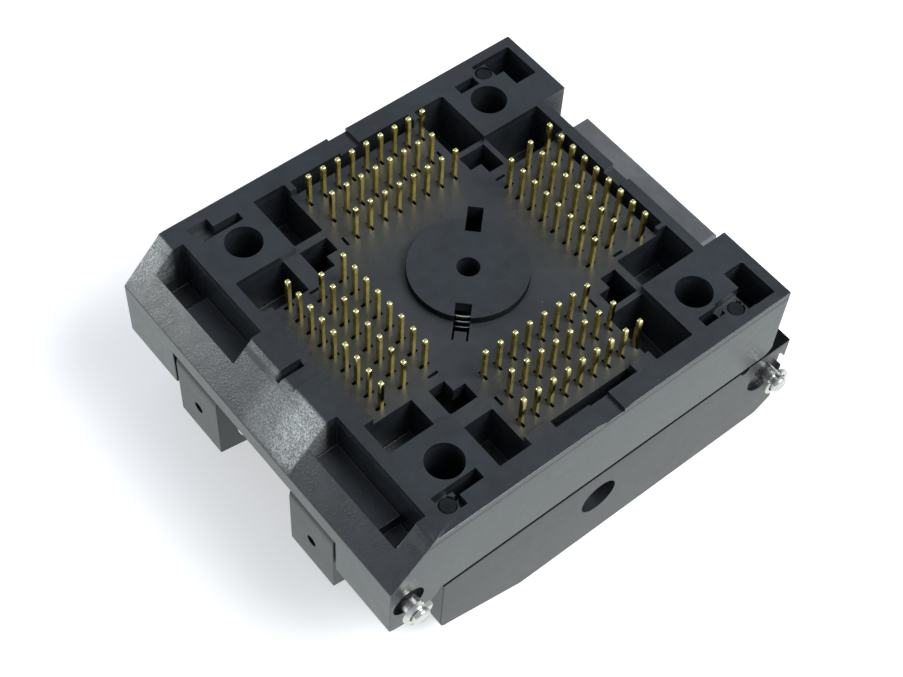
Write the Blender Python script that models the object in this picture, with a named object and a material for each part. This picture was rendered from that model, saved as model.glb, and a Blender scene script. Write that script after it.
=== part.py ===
"""A clamshell test socket for a flat integrated circuit with 100 leads at 0.5 mm.

The socket is closed and lies on its lid, so its contact tails point up. +X runs along the
hinge shaft, +Y from the hinge to the latch and +Z from the lid to the tails. The origin is
under the centre of the contact field, on the lid's outer face. Sizes are in millimetres,
and mesh_object turns them into metres.
"""

import math

import bmesh
import bpy
from mathutils import Matrix, Vector

MM = 0.001
PAST = 1.0  # how far a cutter reaches past the face that it opens
SINK = 0.5  # how deep a joined form reaches into what carries it
FINE_SIDES = 28  # facets round a bore or a large disc
SMALL_SIDES = 12  # facets round a small pin, post or screw

# Clearances
PARTING_GAP = 0.3  # between lid and base
SEAT_GAP = 0.3  # between pieces that rest on each other
SHAFT_FIT = 0.06  # radial, shafts in their bores
PRESS_FIT = 0.03  # radial, pegs in their holes
BARREL_CLEARANCE = 0.35  # radial, between the lid's hinge barrels and the base
SIDE_CLEARANCE = 0.32  # along X, between the lid's arms and the base's lugs
TURNED_CHAMFER = 0.15  # on the ends of pegs, shafts and screw heads

# Outline of the closed socket
HALF_WIDTH = 18.0
LID_HEIGHT = 10.3
BASE_HEIGHT = 8.7
HINGE_FACE = -22.0
LATCH_FACE = 22.0
WALL = 2.0

# Base: levels and outline
FLOOR_STEP = 0.7
TOP_PLATE = 1.6
BLOCK_FACE = 19.45
BLOCK_INNER = 10.15
BLOCK_ROUND = 1.2
LATCH_WALL_FACE = 16.95
PLATEAU_EDGE = 10.05
RIM_EDGE = 15.1
BEVEL_RUN = 3.92
BEVEL_DROP = 4.0
BEVEL_ROUND = 0.4
DISC_RADIUS = 5.12
CENTRE_HOLE_RADIUS = 1.0
MOUNT_HOLE_RADIUS = 1.625
MOUNT_HOLE_SPACING = 26.18
CAVITY_HALF = 9.95
BASE_BOTTOM = LID_HEIGHT + PARTING_GAP
SEAT = BASE_BOTTOM + BASE_HEIGHT
FLOOR = SEAT - FLOOR_STEP
PLATE_UNDERSIDE = FLOOR - TOP_PLATE
HOLE_CENTRE = MOUNT_HOLE_SPACING / 2

# Contacts: each bank has three staggered rows of tails, one spring finger for each tail
LEAD_PITCH = 0.5
TAIL_PITCH = 3 * LEAD_PITCH
TAIL_ROWS = ((13.70, -6.0, 9), (11.14, -5.5, 8), (8.60, -5.0, 8))  # radius, first place, count
SPARE_SLITS = ((11.14, 6.05), (8.60, -6.1))  # radius and place of slits with no contact
TAIL_LENGTH = 3.5
TAIL_WIDTH = 0.42
TAIL_DEPTH = 0.40
TAIL_ROOT = 1.3
SLIT_LENGTH = 0.98
SLIT_WIDTH = 0.27
SLIT_DEPTH = 0.9
FINGER_WIDTH = 0.24
FINGER_REACH = 7.6
FINGER_NOSE = 12.4
FINGER_BEND = 2.5
FINGER_RISE = 3.9
FINGER_LEAN = 0.5
FINGER_STRIP = 0.8
FINGER_COUNT = 25

# Base: pockets that thin the moulding
POCKET_FLOOR = 14.0
SLOT_FLOOR = 16.2
BEVEL_POCKET_FLOOR = 15.2
CORNER_SHELF_DEPTH = 1.2
HEART_INNER = 7.1
HEART_OUTER = 9.85
HEART_NOTCH = 1.15
WINDOW_WIDTH = 1.35
WINDOW_INNER = 3.7
WINDOW_MIDDLE = 6.0
WINDOW_OUTER = 6.9
TONGUE_SLIT = 0.18
GROOVE_WIDTH = 2.0
GROOVE_DEPTH = 0.4

# Hinge
BARREL_RADIUS = 1.8
HINGE_RISE = 1.65
LUG_RADIUS = 3.65
LUG_INNER = 11.1
ARM_INNER = 5.0
SHAFT_RADIUS = 0.8
SHAFT_OVERHANG = 1.8
RING_GROOVE_RADIUS = 0.6
RING_GROOVE_INSET = 0.45
RING_THICKNESS = 0.4
RING_RADIUS = 1.35
RECESS_RADIUS = 1.5
RECESS_DEPTH = 0.5
FLUSH_END_GAP = 0.1  # how far the hinge shaft's left end stands below the base's face
HINGE_Y = HINGE_FACE + BARREL_RADIUS
HINGE_Z = BASE_BOTTOM + HINGE_RISE
ARM_OUTER = LUG_INNER - SIDE_CLEARANCE

# Latch
LATCH_Y = 19.9
LATCH_Z = 7.0
LATCH_HALF = 8.32
LATCH_TOP = 15.9
LATCH_OUTER = 21.17
LATCH_THICKNESS = 1.77
LATCH_BOSS_RADIUS = 1.7
HOOK_REACH = 3.77
HOOK_THICKNESS = 1.05
LATCH_FOOT = 1.8
LATCH_SIDE_GAP = 0.38
LEDGE_FACE = 18.9
LEDGE_HALF = 8.4
LEDGE_CHAMFER_RUN = 0.7
LEDGE_CHAMFER_RISE = 0.9
LATCH_FOOT_GAP = 0.5
LATCH_EDGE_ROUND = 0.4
HOOK_TIP_RUN = 0.2
HOOK_TIP_DROP = 0.3
THUMB_FACE = 21.9
THUMB_TOP = 5.6
THUMB_SLOPE = 1.0
THUMB_CHAMFER = (0.2, 0.4)  # run, rise
LATCH_WINDOW_MARGIN = 0.7
GRIP_COUNT = 3
GRIP_START = 2.7
GRIP_HALF = 6.82
GRIP_DEPTH = 0.25
GRIP_WIDTH = 0.4
LATCH_RECESS_RADIUS = 2.2

# Lid
LID_END_FACE = -16.65
LID_SLOPE_START = -7.7
LID_SLOPE_RISE = 2.9
LID_CHAMFER_RUN = 1.7
LID_CHAMFER_RISE = 1.2
LID_PLATE = 2.2
LATCH_POCKET_WALL = 17.2
SIDE_HOLE_PLACE = (0.2, 6.3)
SIDE_HOLE_RADIUS = 1.85
SIDE_HOLE_DEPTH = 1.1
LID_ROUND = 1.0
TRAY_SLOPE_START = -7.5
TRAY_SLOPE_TOP = 4.6
POCKET_WALL_THICKNESS = 1.0
POCKET_LIP = 0.1
ARM_FOOT = 5.5
ARM_ROOT = 4.2
ARM_STEP = 0.4
ARM_HOLE_PLACE = (7.9, 9.0)
ARM_HOLE_RADIUS = 0.55
ARM_HOLE_DEPTH = 1.2
PARTING_NOTCH_PLACE = 16.5
PARTING_NOTCH_RADIUS = 0.5
PARTING_NOTCH_DEPTH = 0.8

# Pressure pad
PAD_HALF = 12.6
PAD_BOTTOM = 5.6
PAD_THICKNESS = 2.8
PAD_TRAVEL = 0.8
BAR_INNER = 7.3
BAR_OUTER = 8.3
BAR_HALF_LENGTH = 6.3
BAR_TOP = 12.0
BAR_CHAMFER = 0.3
PUSHER_HALF = 4.5
PUSHER_TOP = 11.6
SCREW_PLACE = 10.8
SCREW_RADIUS = 0.7
SCREW_HEAD_RADIUS = 1.3
SCREW_HEAD_HEIGHT = 0.9
SCREW_FOOT = 2.9
SCREW_SLOT_WIDTH = 0.3
SCREW_SLOT_DEPTH = 0.4
PAD_HOLE_GAP = 0.15
BOSS_RADIUS = 1.6
PAD_SPRING_PLACE = (10.6, 4.5)
PAD_SPRING_RADIUS = 1.3
PAD_SPRING_WIRE = 0.18
PAD_SPRING_POCKET = 1.2
PAD_SPRING_TURNS = 3.5
SPRING_POST_RADIUS = 0.8
SPRING_POST_DROP = 0.7

# Contact guide and package stage
GUIDE_HALF_X = 16.95
GUIDE_HALF_Y = 15.95
GUIDE_THICKNESS = 1.0
GUIDE_OPENING = 9.2
PEG_RADIUS = 0.75
PEG_PLACES = ((16.33, 14.69), (16.17, -15.29), (-15.80, 14.70))
PEG_TOP_GAP = 0.05
STAGE_HALF = 6.9
STAGE_TOP = 15.4
STAGE_THICKNESS = 1.8
STAGE_EAR_OUTER = 9.6
STAGE_EAR_DROP = 0.2
STAGE_HOLE_RADIUS = 1.5
STAGE_SPRING_RADIUS = 3.85
STAGE_SPRING_WIRE = 0.15
STAGE_SPRING_TURN = (-10, 1070)  # first and last angle, in degrees
STAGE_GROOVE = 0.4
SPRING_GROOVE_HALF = 0.7
SPRING_GROOVE_TOP = 18.2
GUIDE_BOTTOM = BASE_BOTTOM + SEAT_GAP
GUIDE_TOP = GUIDE_BOTTOM + GUIDE_THICKNESS

# Springs on the shafts
HINGE_SPRING_RADIUS = 1.2
HINGE_SPRING_WIRE = 0.25
HINGE_SPRING_HALF = 3.0
HINGE_SPRING_TURNS = 4.75
HINGE_SPRING_FOOT = 6.5
HINGE_SPRING_REACH = -16.55
LATCH_SPRING_RADIUS = 1.15
LATCH_SPRING_WIRE = 0.18
LATCH_SPRING_SPAN = (2.9, 5.1)
LATCH_SPRING_TURNS = 3
LATCH_SPRING_FOOT = 3.0
LATCH_SPRING_HEAD = 9.4

# Pockets of the base: x range and y range, read on the seating plane
DEEP_POCKETS = (
    ((6.9, PLATEAU_EDGE), (-16.04, -11.37)),
    ((11.35, 16.0), (-PLATEAU_EDGE, -6.88)),
    ((-16.06, -10.65), (-PLATEAU_EDGE, -6.9)),
    ((-PLATEAU_EDGE, -6.4), (-16.06, -11.4)),
    ((-15.9, -10.35), (6.9, PLATEAU_EDGE)),
    ((-PLATEAU_EDGE, -6.5), (10.35, 16.0)),
    ((6.6, PLATEAU_EDGE), (10.56, 16.0)),
    ((10.35, 16.1), (6.12, PLATEAU_EDGE)),
    ((-17.0, -13.1), (16.3, 18.55)),
    ((13.25, 17.1), (16.3, 18.4)),
    ((-15.9, -13.0), (-19.95, -17.15)),
    ((13.0, 15.9), (-19.95, -17.15)),
)
RIM_SLOTS = (
    ((15.0, 16.0), (-4.4, 4.1)),
    ((-16.0, -15.0), (-6.3, 6.3)),
    ((-6.0, 6.2), (15.0, 15.9)),
    ((-16.05, -15.05), (11.6, 13.65)),
    ((15.2, 16.2), (11.5, 13.65)),
    ((14.95, 16.0), (-14.3, -11.6)),
    ((-15.93, -15.08), (-15.6, -11.7)),
)
SHELVES = (
    ((-15.9, -4.95), (-19.95, -17.15), BEVEL_POCKET_FLOOR),
    ((4.95, 15.9), (-19.95, -17.15), BEVEL_POCKET_FLOOR),
    ((-16.9, -15.8), (-16.1, -14.15), SEAT - CORNER_SHELF_DEPTH),
    ((14.95, 15.5), (-15.97, -14.2), SEAT - CORNER_SHELF_DEPTH),
    ((15.9, 16.97), (-14.65, -14.0), SEAT - CORNER_SHELF_DEPTH),
)


def clear_scene():
    """Removes every object that the file holds."""
    for obj in list(bpy.data.objects):
        bpy.data.objects.remove(obj, do_unlink=True)


def plain_material(name, colour, roughness, metallic):
    """A Principled BSDF with one colour, roughness and metallic value."""
    material = bpy.data.materials.new(name)
    material.use_nodes = True
    shader = material.node_tree.nodes["Principled BSDF"]
    shader.inputs["Base Color"].default_value = (*colour, 1.0)
    shader.inputs["Roughness"].default_value = roughness
    shader.inputs["Metallic"].default_value = metallic
    return material


def arc(centre, radius, start, end, steps):
    """Points on a circle's arc, angles in degrees, with both ends."""
    turn = math.radians(end - start) / steps
    angles = [math.radians(start) + turn * step for step in range(steps + 1)]
    return [(centre[0] + radius * math.cos(a), centre[1] + radius * math.sin(a)) for a in angles]


def circle(centre, radius, sides):
    """Points of a whole circle, each once."""
    return arc(centre, radius, 0, 360, sides)[:-1]


def fillet(before, corner, after, radius, steps=4):
    """Points of the arc that rounds a corner of an outline."""
    to_before = (Vector(before) - Vector(corner)).normalized()
    to_after = (Vector(after) - Vector(corner)).normalized()
    half_angle = to_before.angle(to_after) / 2
    centre = Vector(corner) + (to_before + to_after).normalized() * radius / math.sin(half_angle)
    reach = radius / math.tan(half_angle)
    first = Vector(corner) + to_before * reach - centre
    last = Vector(corner) + to_after * reach - centre
    sweep = first.angle_signed(last)
    return [tuple(centre + Matrix.Rotation(-sweep * k / steps, 2) @ first) for k in range(steps + 1)]


def placed(axis, along, u, v):
    """The point at a distance along the axis, with u and v on the two others in order."""
    return {"x": (along, u, v), "y": (u, along, v), "z": (u, v, along)}[axis]


def add_loft(bm, rings):
    """Adds the closed solid whose skin runs through rings of points, with flat ends."""
    loops = [[bm.verts.new(point) for point in ring] for ring in rings]
    for low, high in zip(loops, loops[1:]):
        for k in range(len(low)):
            after = (k + 1) % len(low)
            bm.faces.new((low[k], low[after], high[after], high[k]))
    bm.faces.new(list(reversed(loops[0])))
    bm.faces.new(loops[-1])


def add_prism(bm, outline, axis, span):
    """Adds the prism of an outline over a span of the axis."""
    add_loft(bm, [[placed(axis, along, u, v) for u, v in outline] for along in span])


def add_box(bm, x, y, z):
    """Adds the box that spans the ranges x, y and z."""
    add_prism(bm, ((x[0], y[0]), (x[1], y[0]), (x[1], y[1]), (x[0], y[1])), "z", z)


def add_turned(bm, axis, centre, profile, sides=FINE_SIDES):
    """Adds a turned piece: profile lists the place along the axis and the radius there."""
    rings = [
        [placed(axis, along, u, v) for u, v in circle(centre, radius, sides)]
        for along, radius in profile
    ]
    add_loft(bm, rings)


def add_tube(bm, centre, inner, outer, span, sides=FINE_SIDES):
    """Adds a ring along Z with a square section."""
    section = ((inner, span[0]), (outer, span[0]), (outer, span[1]), (inner, span[1]))
    loops = [
        [bm.verts.new((*point, height)) for point in circle(centre, radius, sides)]
        for radius, height in section
    ]
    for low, high in zip(loops, loops[1:] + loops[:1]):
        for k in range(sides):
            after = (k + 1) % sides
            bm.faces.new((low[k], low[after], high[after], high[k]))


def add_wire(bm, path, radius, sides=4):
    """Adds a round wire along a path, its section carried from point to point without twist."""
    points = [Vector(point) for point in path]
    ends = zip(points[:1] + points[:-1], points[1:] + points[-1:])
    tangents = [(after - before).normalized() for before, after in ends]
    normal = tangents[0].orthogonal().normalized()
    rings = []
    for k, point in enumerate(points):
        if k:
            normal = tangents[k - 1].rotation_difference(tangents[k]) @ normal
        across = tangents[k].cross(normal)
        rings.append([point + normal * u + across * v for u, v in circle((0, 0), radius, sides)])
    add_loft(bm, rings)


def coil(axis, centre, span, radius, first, last, steps=10):
    """Points of a helix about the axis, from the first to the last angle in degrees."""
    count = round(abs(last - first) / 360 * steps)
    points = arc(centre, radius, first, last, count)
    pitch = (span[1] - span[0]) / count
    return [placed(axis, span[0] + pitch * k, u, v) for k, (u, v) in enumerate(points)]


def add_around(bm, build, turns):
    """Adds a form once for each turn about Z through the centre, in degrees."""
    for turn in turns:
        before = set(bm.verts)
        build(bm)
        added = [vertex for vertex in bm.verts if vertex not in before]
        rotation = Matrix.Rotation(math.radians(turn), 3, "Z")
        bmesh.ops.rotate(bm, verts=added, cent=(0, 0, 0), matrix=rotation)


def mesh_object(name, bm):
    """An object in metres from a mesh built in millimetres, with its faces pointing out."""
    bmesh.ops.recalc_face_normals(bm, faces=bm.faces)
    bmesh.ops.scale(bm, vec=(MM, MM, MM), verts=bm.verts)
    mesh = bpy.data.meshes.new(name)
    bm.to_mesh(mesh)
    bm.free()
    obj = bpy.data.objects.new(name, mesh)
    bpy.context.scene.collection.objects.link(obj)
    return obj


def piece(name, bm, material):
    """A visible piece of the socket."""
    obj = mesh_object(name, bm)
    obj.data.materials.append(material)
    obj.data.shade_smooth()
    obj.data.set_sharp_from_angle(angle=math.radians(35))
    return obj


def combine(body, operation, name, bm):
    """Cuts a form from a body, or joins it to the body, with a live Boolean."""
    tool = mesh_object(f"{body.name}_{name}", bm)
    tool.hide_render = True
    tool.display_type = "WIRE"
    modifier = body.modifiers.new(name, "BOOLEAN")
    modifier.operation = operation
    modifier.object = tool


def axis_empty(name, place):
    """An empty on a joint's axis, which the moving pieces hang from."""
    empty = bpy.data.objects.new(name, None)
    empty.location = [value * MM for value in place]
    bpy.context.scene.collection.objects.link(empty)
    return empty


def hang(obj, empty):
    """Parents a piece to an axis empty and leaves it where it is."""
    obj.parent = empty
    obj.matrix_parent_inverse = Matrix.Translation(-empty.location)


def tail_places():
    """Place along the bank and radius of each contact tail of one bank."""
    return [
        (first + TAIL_PITCH * k, radius)
        for radius, first, count in TAIL_ROWS
        for k in range(count)
    ]


def add_slits(bm):
    """One bank's slits, with the spare ones."""
    spare = [(place, radius) for radius, place in SPARE_SLITS]
    for place, radius in tail_places() + spare:
        across = (place - SLIT_WIDTH / 2, place + SLIT_WIDTH / 2)
        along = (radius - SLIT_LENGTH / 2, radius + SLIT_LENGTH / 2)
        add_box(bm, across, along, (FLOOR - SLIT_DEPTH, FLOOR + PAST))


def add_tails(bm):
    """One bank's contact tails, each square and rooted in the top plate."""
    for place, radius in tail_places():
        across = (place - TAIL_WIDTH / 2, place + TAIL_WIDTH / 2)
        along = (radius - TAIL_DEPTH / 2, radius + TAIL_DEPTH / 2)
        add_box(bm, across, along, (FLOOR - TAIL_ROOT, FLOOR + TAIL_LENGTH))


def add_fingers(bm):
    """One bank's spring fingers: a bent strip from the cavity's wall to a nose under the lead."""
    root = CAVITY_HALF + SINK / 2
    outline = (
        (root, FINGER_NOSE + FINGER_RISE),
        (FINGER_REACH + FINGER_LEAN, FINGER_NOSE + FINGER_BEND),
        (FINGER_REACH, FINGER_NOSE),
        (FINGER_REACH + FINGER_LEAN + FINGER_STRIP, FINGER_NOSE + FINGER_BEND - FINGER_STRIP / 2),
        (root, FINGER_NOSE + FINGER_RISE - FINGER_STRIP),
    )
    first = -LEAD_PITCH * (FINGER_COUNT - 1) / 2
    for k in range(FINGER_COUNT):
        place = first + LEAD_PITCH * k
        add_prism(bm, outline, "x", (place - FINGER_WIDTH / 2, place + FINGER_WIDTH / 2))


def add_heart(bm):
    """The pocket beside a corner: a square with its inner corner left standing."""
    notch = HEART_INNER + HEART_NOTCH
    outline = (
        (notch, HEART_INNER),
        (HEART_OUTER, HEART_INNER),
        (HEART_OUTER, HEART_OUTER),
        (HEART_INNER, HEART_OUTER),
        (HEART_INNER, notch),
        (notch, notch),
    )
    add_prism(bm, outline, "z", (PLATE_UNDERSIDE - SINK, FLOOR + PAST))


def base_outline():
    """Side view of the base in Y and Z: lug, latch end, seating plane and bevel."""
    hinge = (HINGE_Y, HINGE_Z)
    back = math.degrees(math.acos((HINGE_FACE - HINGE_Y) / LUG_RADIUS))
    front = math.degrees(math.asin(HINGE_RISE / LUG_RADIUS))
    round_centre = (BLOCK_FACE - BLOCK_ROUND, BASE_BOTTOM + BLOCK_ROUND)
    bevel_top = (HINGE_FACE + BEVEL_RUN, SEAT)
    bevel_foot = (HINGE_FACE, SEAT - BEVEL_DROP)
    return (
        arc(hinge, LUG_RADIUS, -back, -front, 10)
        + arc(round_centre, BLOCK_ROUND, -90, 0, 5)
        + [(BLOCK_FACE, SEAT)]
        + fillet((BLOCK_FACE, SEAT), bevel_top, bevel_foot, BEVEL_ROUND)
        + [bevel_foot]
    )


def base_housing(material):
    """The moulded base with its hundred contacts, which are fused to it."""
    bm = bmesh.new()
    add_prism(bm, base_outline(), "x", (-HALF_WIDTH, HALF_WIDTH))
    base = piece("base_housing", bm, material)
    above = SEAT + PAST

    bm = bmesh.new()
    sweep = BARREL_RADIUS + BARREL_CLEARANCE
    relief = BASE_BOTTOM + PARTING_GAP / 2
    opening = arc((HINGE_Y, HINGE_Z), sweep, 0, 180, 16) + [
        (HINGE_Y - sweep, HINGE_Z - LUG_RADIUS - PAST),
        (LID_END_FACE + SEAT_GAP, HINGE_Z - LUG_RADIUS - PAST),
        (LID_END_FACE + SEAT_GAP, relief),
        (HINGE_Y + sweep, relief),
    ]
    add_prism(bm, opening, "x", (-LUG_INNER, LUG_INNER))
    combine(base, "DIFFERENCE", "hinge_window", bm)

    bm = bmesh.new()
    notch = (-BLOCK_INNER, BLOCK_INNER)
    add_box(bm, notch, (LATCH_WALL_FACE, BLOCK_FACE + PAST), (BASE_BOTTOM - PAST, above))
    combine(base, "DIFFERENCE", "latch_notch", bm)

    bm = bmesh.new()
    near, far = PLATEAU_EDGE, RIM_EDGE
    quarter = ((far, -near), (far, near), (near, near))
    cross = [
        tuple(Matrix.Rotation(math.radians(90 * turn), 2) @ Vector(corner))
        for turn in range(4)
        for corner in quarter
    ]
    add_prism(bm, cross, "z", (FLOOR, above))
    combine(base, "DIFFERENCE", "contact_floor", bm)

    bm = bmesh.new()
    guide_x = GUIDE_HALF_X + SEAT_GAP
    guide_y = GUIDE_HALF_Y + SEAT_GAP
    recess = (BASE_BOTTOM - PAST, GUIDE_TOP + SEAT_GAP)
    add_box(bm, (-guide_x, guide_x), (-guide_y, guide_y), recess)
    combine(base, "DIFFERENCE", "guide_recess", bm)

    bm = bmesh.new()
    side = (-CAVITY_HALF, CAVITY_HALF)
    add_box(bm, side, side, (GUIDE_TOP, PLATE_UNDERSIDE))
    combine(base, "DIFFERENCE", "cavity", bm)

    bm = bmesh.new()
    ledge = (
        (LATCH_WALL_FACE - SINK, BASE_BOTTOM + SEAT_GAP),
        (LEDGE_FACE - LEDGE_CHAMFER_RUN, BASE_BOTTOM + SEAT_GAP),
        (LEDGE_FACE, BASE_BOTTOM + SEAT_GAP + LEDGE_CHAMFER_RISE),
        (LEDGE_FACE, LATCH_TOP - HOOK_THICKNESS - SEAT_GAP),
        (LATCH_WALL_FACE - SINK, LATCH_TOP - HOOK_THICKNESS - SEAT_GAP),
    )
    add_prism(bm, ledge, "x", (-LEDGE_HALF, LEDGE_HALF))
    add_turned(bm, "z", (0, 0), ((FLOOR - SINK, DISC_RADIUS), (SEAT, DISC_RADIUS)), 40)
    combine(base, "UNION", "ledge_and_disc", bm)

    bm = bmesh.new()
    for x, y in DEEP_POCKETS:
        add_box(bm, x, y, (POCKET_FLOOR, above))
    for x, y in RIM_SLOTS:
        add_box(bm, x, y, (SLOT_FLOOR, above))
    add_around(bm, add_heart, (0, 90, 180, 270))
    combine(base, "DIFFERENCE", "pockets", bm)

    bm = bmesh.new()
    for x, y, floor in SHELVES:
        add_box(bm, x, y, (floor, above))
    half = GROOVE_WIDTH / 2
    bottom = SEAT - GROOVE_DEPTH
    add_box(bm, (-half, half), (HINGE_FACE - PAST, -RIM_EDGE + SINK), (bottom, above))
    add_box(bm, (-half, half), (RIM_EDGE - SINK, BLOCK_FACE), (bottom, above))
    add_box(bm, (-HALF_WIDTH - PAST, -RIM_EDGE + SINK), (-half, half), (bottom, above))
    add_box(bm, (RIM_EDGE - SINK, HALF_WIDTH + PAST), (-half, half), (bottom, above))
    combine(base, "DIFFERENCE", "shelves_and_grooves", bm)

    bm = bmesh.new()
    through = ((BASE_BOTTOM - PAST, MOUNT_HOLE_RADIUS), (above, MOUNT_HOLE_RADIUS))
    for x in (-HOLE_CENTRE, HOLE_CENTRE):
        for y in (-HOLE_CENTRE, HOLE_CENTRE):
            add_turned(bm, "z", (x, y), through)
    for place in PEG_PLACES:
        radius = PEG_RADIUS + PRESS_FIT
        add_turned(bm, "z", place, ((GUIDE_TOP, radius), (above, radius)), 16)
    eject = ((PLATE_UNDERSIDE - SINK, CENTRE_HOLE_RADIUS), (above, CENTRE_HOLE_RADIUS))
    add_turned(bm, "z", (0, 0), eject, 20)
    groove = (STAGE_SPRING_RADIUS - SPRING_GROOVE_HALF, STAGE_SPRING_RADIUS + SPRING_GROOVE_HALF)
    add_tube(bm, (0, 0), *groove, (PLATE_UNDERSIDE - SINK, SPRING_GROOVE_TOP))
    combine(base, "DIFFERENCE", "holes", bm)

    bm = bmesh.new()
    half = WINDOW_WIDTH / 2
    depth = (PLATE_UNDERSIDE - SINK, above)

    def open_window(target):
        add_box(target, (WINDOW_INNER, WINDOW_OUTER), (-half, half), depth)

    def tongue_window(target):
        outline = (
            (WINDOW_INNER, -half),
            (WINDOW_OUTER, -half),
            (WINDOW_OUTER, TONGUE_SLIT - half),
            (WINDOW_MIDDLE, TONGUE_SLIT - half),
            (WINDOW_MIDDLE, half - TONGUE_SLIT),
            (WINDOW_OUTER, half - TONGUE_SLIT),
            (WINDOW_OUTER, half),
            (WINDOW_INNER, half),
        )
        add_prism(target, outline, "z", depth)

    add_around(bm, open_window, (135,))
    add_around(bm, tongue_window, (-45,))
    add_around(bm, add_slits, (0, 90, 180, 270))
    combine(base, "DIFFERENCE", "windows_and_slits", bm)

    bm = bmesh.new()
    bore = SHAFT_RADIUS + SHAFT_FIT
    outside = HALF_WIDTH + PAST
    inside = HALF_WIDTH - RECESS_DEPTH
    middle = LUG_INNER - PAST
    hinge = (HINGE_Y, HINGE_Z)
    add_turned(bm, "x", hinge, ((-outside, bore), (-middle, bore)), 24)
    recessed = ((middle, bore), (inside, bore), (inside, RECESS_RADIUS), (outside, RECESS_RADIUS))
    add_turned(bm, "x", hinge, recessed, 24)
    combine(base, "DIFFERENCE", "shaft_bores", bm)

    bm = bmesh.new()
    leg = 2 * HINGE_SPRING_WIRE
    top = HINGE_Z - HINGE_SPRING_RADIUS + HINGE_SPRING_WIRE + SEAT_GAP
    across = (HINGE_SPRING_HALF - leg, HINGE_SPRING_HALF + leg)
    add_box(bm, across, (HINGE_Y + sweep - SINK, -guide_y + SINK), (0, top))
    combine(base, "DIFFERENCE", "spring_notch", bm)

    bm = bmesh.new()
    add_around(bm, add_tails, (0, 90, 180, 270))
    add_around(bm, add_fingers, (0, 90, 180, 270))
    combine(base, "UNION", "contacts", bm)
    return base


def contact_guide(material):
    """The plate under the base: pegs locate it, and its rim keeps the stage in."""
    bm = bmesh.new()
    span = (GUIDE_BOTTOM, GUIDE_TOP)
    add_box(bm, (-GUIDE_HALF_X, GUIDE_HALF_X), (-GUIDE_HALF_Y, GUIDE_HALF_Y), span)
    guide = piece("contact_guide", bm, material)

    bm = bmesh.new()
    side = (-GUIDE_OPENING, GUIDE_OPENING)
    add_box(bm, side, side, (GUIDE_BOTTOM - PAST, GUIDE_TOP + PAST))
    for x in (-HOLE_CENTRE, HOLE_CENTRE):
        for y in (-HOLE_CENTRE, HOLE_CENTRE):
            radius = MOUNT_HOLE_RADIUS + SEAT_GAP
            ends = ((GUIDE_BOTTOM - PAST, radius), (GUIDE_TOP + PAST, radius))
            add_turned(bm, "z", (x, y), ends, 16)
    combine(guide, "DIFFERENCE", "openings", bm)

    bm = bmesh.new()
    for x, y in PEG_PLACES:
        top = SEAT - PEG_TOP_GAP
        profile = (
            (GUIDE_TOP - SINK, PEG_RADIUS),
            (top - TURNED_CHAMFER, PEG_RADIUS),
            (top, PEG_RADIUS - TURNED_CHAMFER),
        )
        add_turned(bm, "z", (x, y), profile, 16)
    combine(guide, "UNION", "pegs", bm)
    return guide


def package_stage(material):
    """The floating nest for the package: an ear at each corner stops on the guide's rim."""
    bm = bmesh.new()
    side = (-STAGE_HALF, STAGE_HALF)
    add_box(bm, side, side, (STAGE_TOP - STAGE_THICKNESS, STAGE_TOP))
    stage = piece("package_stage", bm, material)

    bm = bmesh.new()
    foot = GUIDE_TOP + SEAT_GAP

    def add_ear(target):
        side = (STAGE_HALF - SINK, STAGE_EAR_OUTER)
        add_box(target, side, side, (foot, STAGE_TOP - STAGE_EAR_DROP))

    add_around(bm, add_ear, (0, 90, 180, 270))
    combine(stage, "UNION", "ears", bm)

    bm = bmesh.new()
    groove = (STAGE_SPRING_RADIUS - SPRING_GROOVE_HALF, STAGE_SPRING_RADIUS + SPRING_GROOVE_HALF)
    add_tube(bm, (0, 0), *groove, (STAGE_TOP - STAGE_GROOVE, STAGE_TOP + PAST))
    ends = ((foot - PAST, STAGE_HOLE_RADIUS), (STAGE_TOP + PAST, STAGE_HOLE_RADIUS))
    add_turned(bm, "z", (0, 0), ends, 16)
    combine(stage, "DIFFERENCE", "spring_seat", bm)
    return stage


def stage_spring(material):
    """The wide spring between the base and the stage, seen through the windows."""
    bm = bmesh.new()
    span = (
        STAGE_TOP - STAGE_GROOVE + SEAT_GAP + STAGE_SPRING_WIRE,
        SPRING_GROOVE_TOP - SEAT_GAP - STAGE_SPRING_WIRE,
    )
    path = coil("z", (0, 0), span, STAGE_SPRING_RADIUS, *STAGE_SPRING_TURN, 16)
    add_wire(bm, path, STAGE_SPRING_WIRE)
    return piece("stage_spring", bm, material)


def lid_outline():
    """Side view of the lid in Y and Z: flat top, slope to the hinge, chamfer at the latch."""
    foot = (LID_END_FACE, LID_SLOPE_RISE)
    return (
        [(LID_END_FACE, LID_HEIGHT)]
        + fillet((LID_END_FACE, LID_HEIGHT), foot, (LID_SLOPE_START, 0), LID_ROUND)
        + [
            (LID_SLOPE_START, 0),
            (LATCH_FACE - LID_CHAMFER_RUN, 0),
            (LATCH_FACE, LID_CHAMFER_RISE),
            (LATCH_FACE, LID_HEIGHT),
        ]
    )


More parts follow.
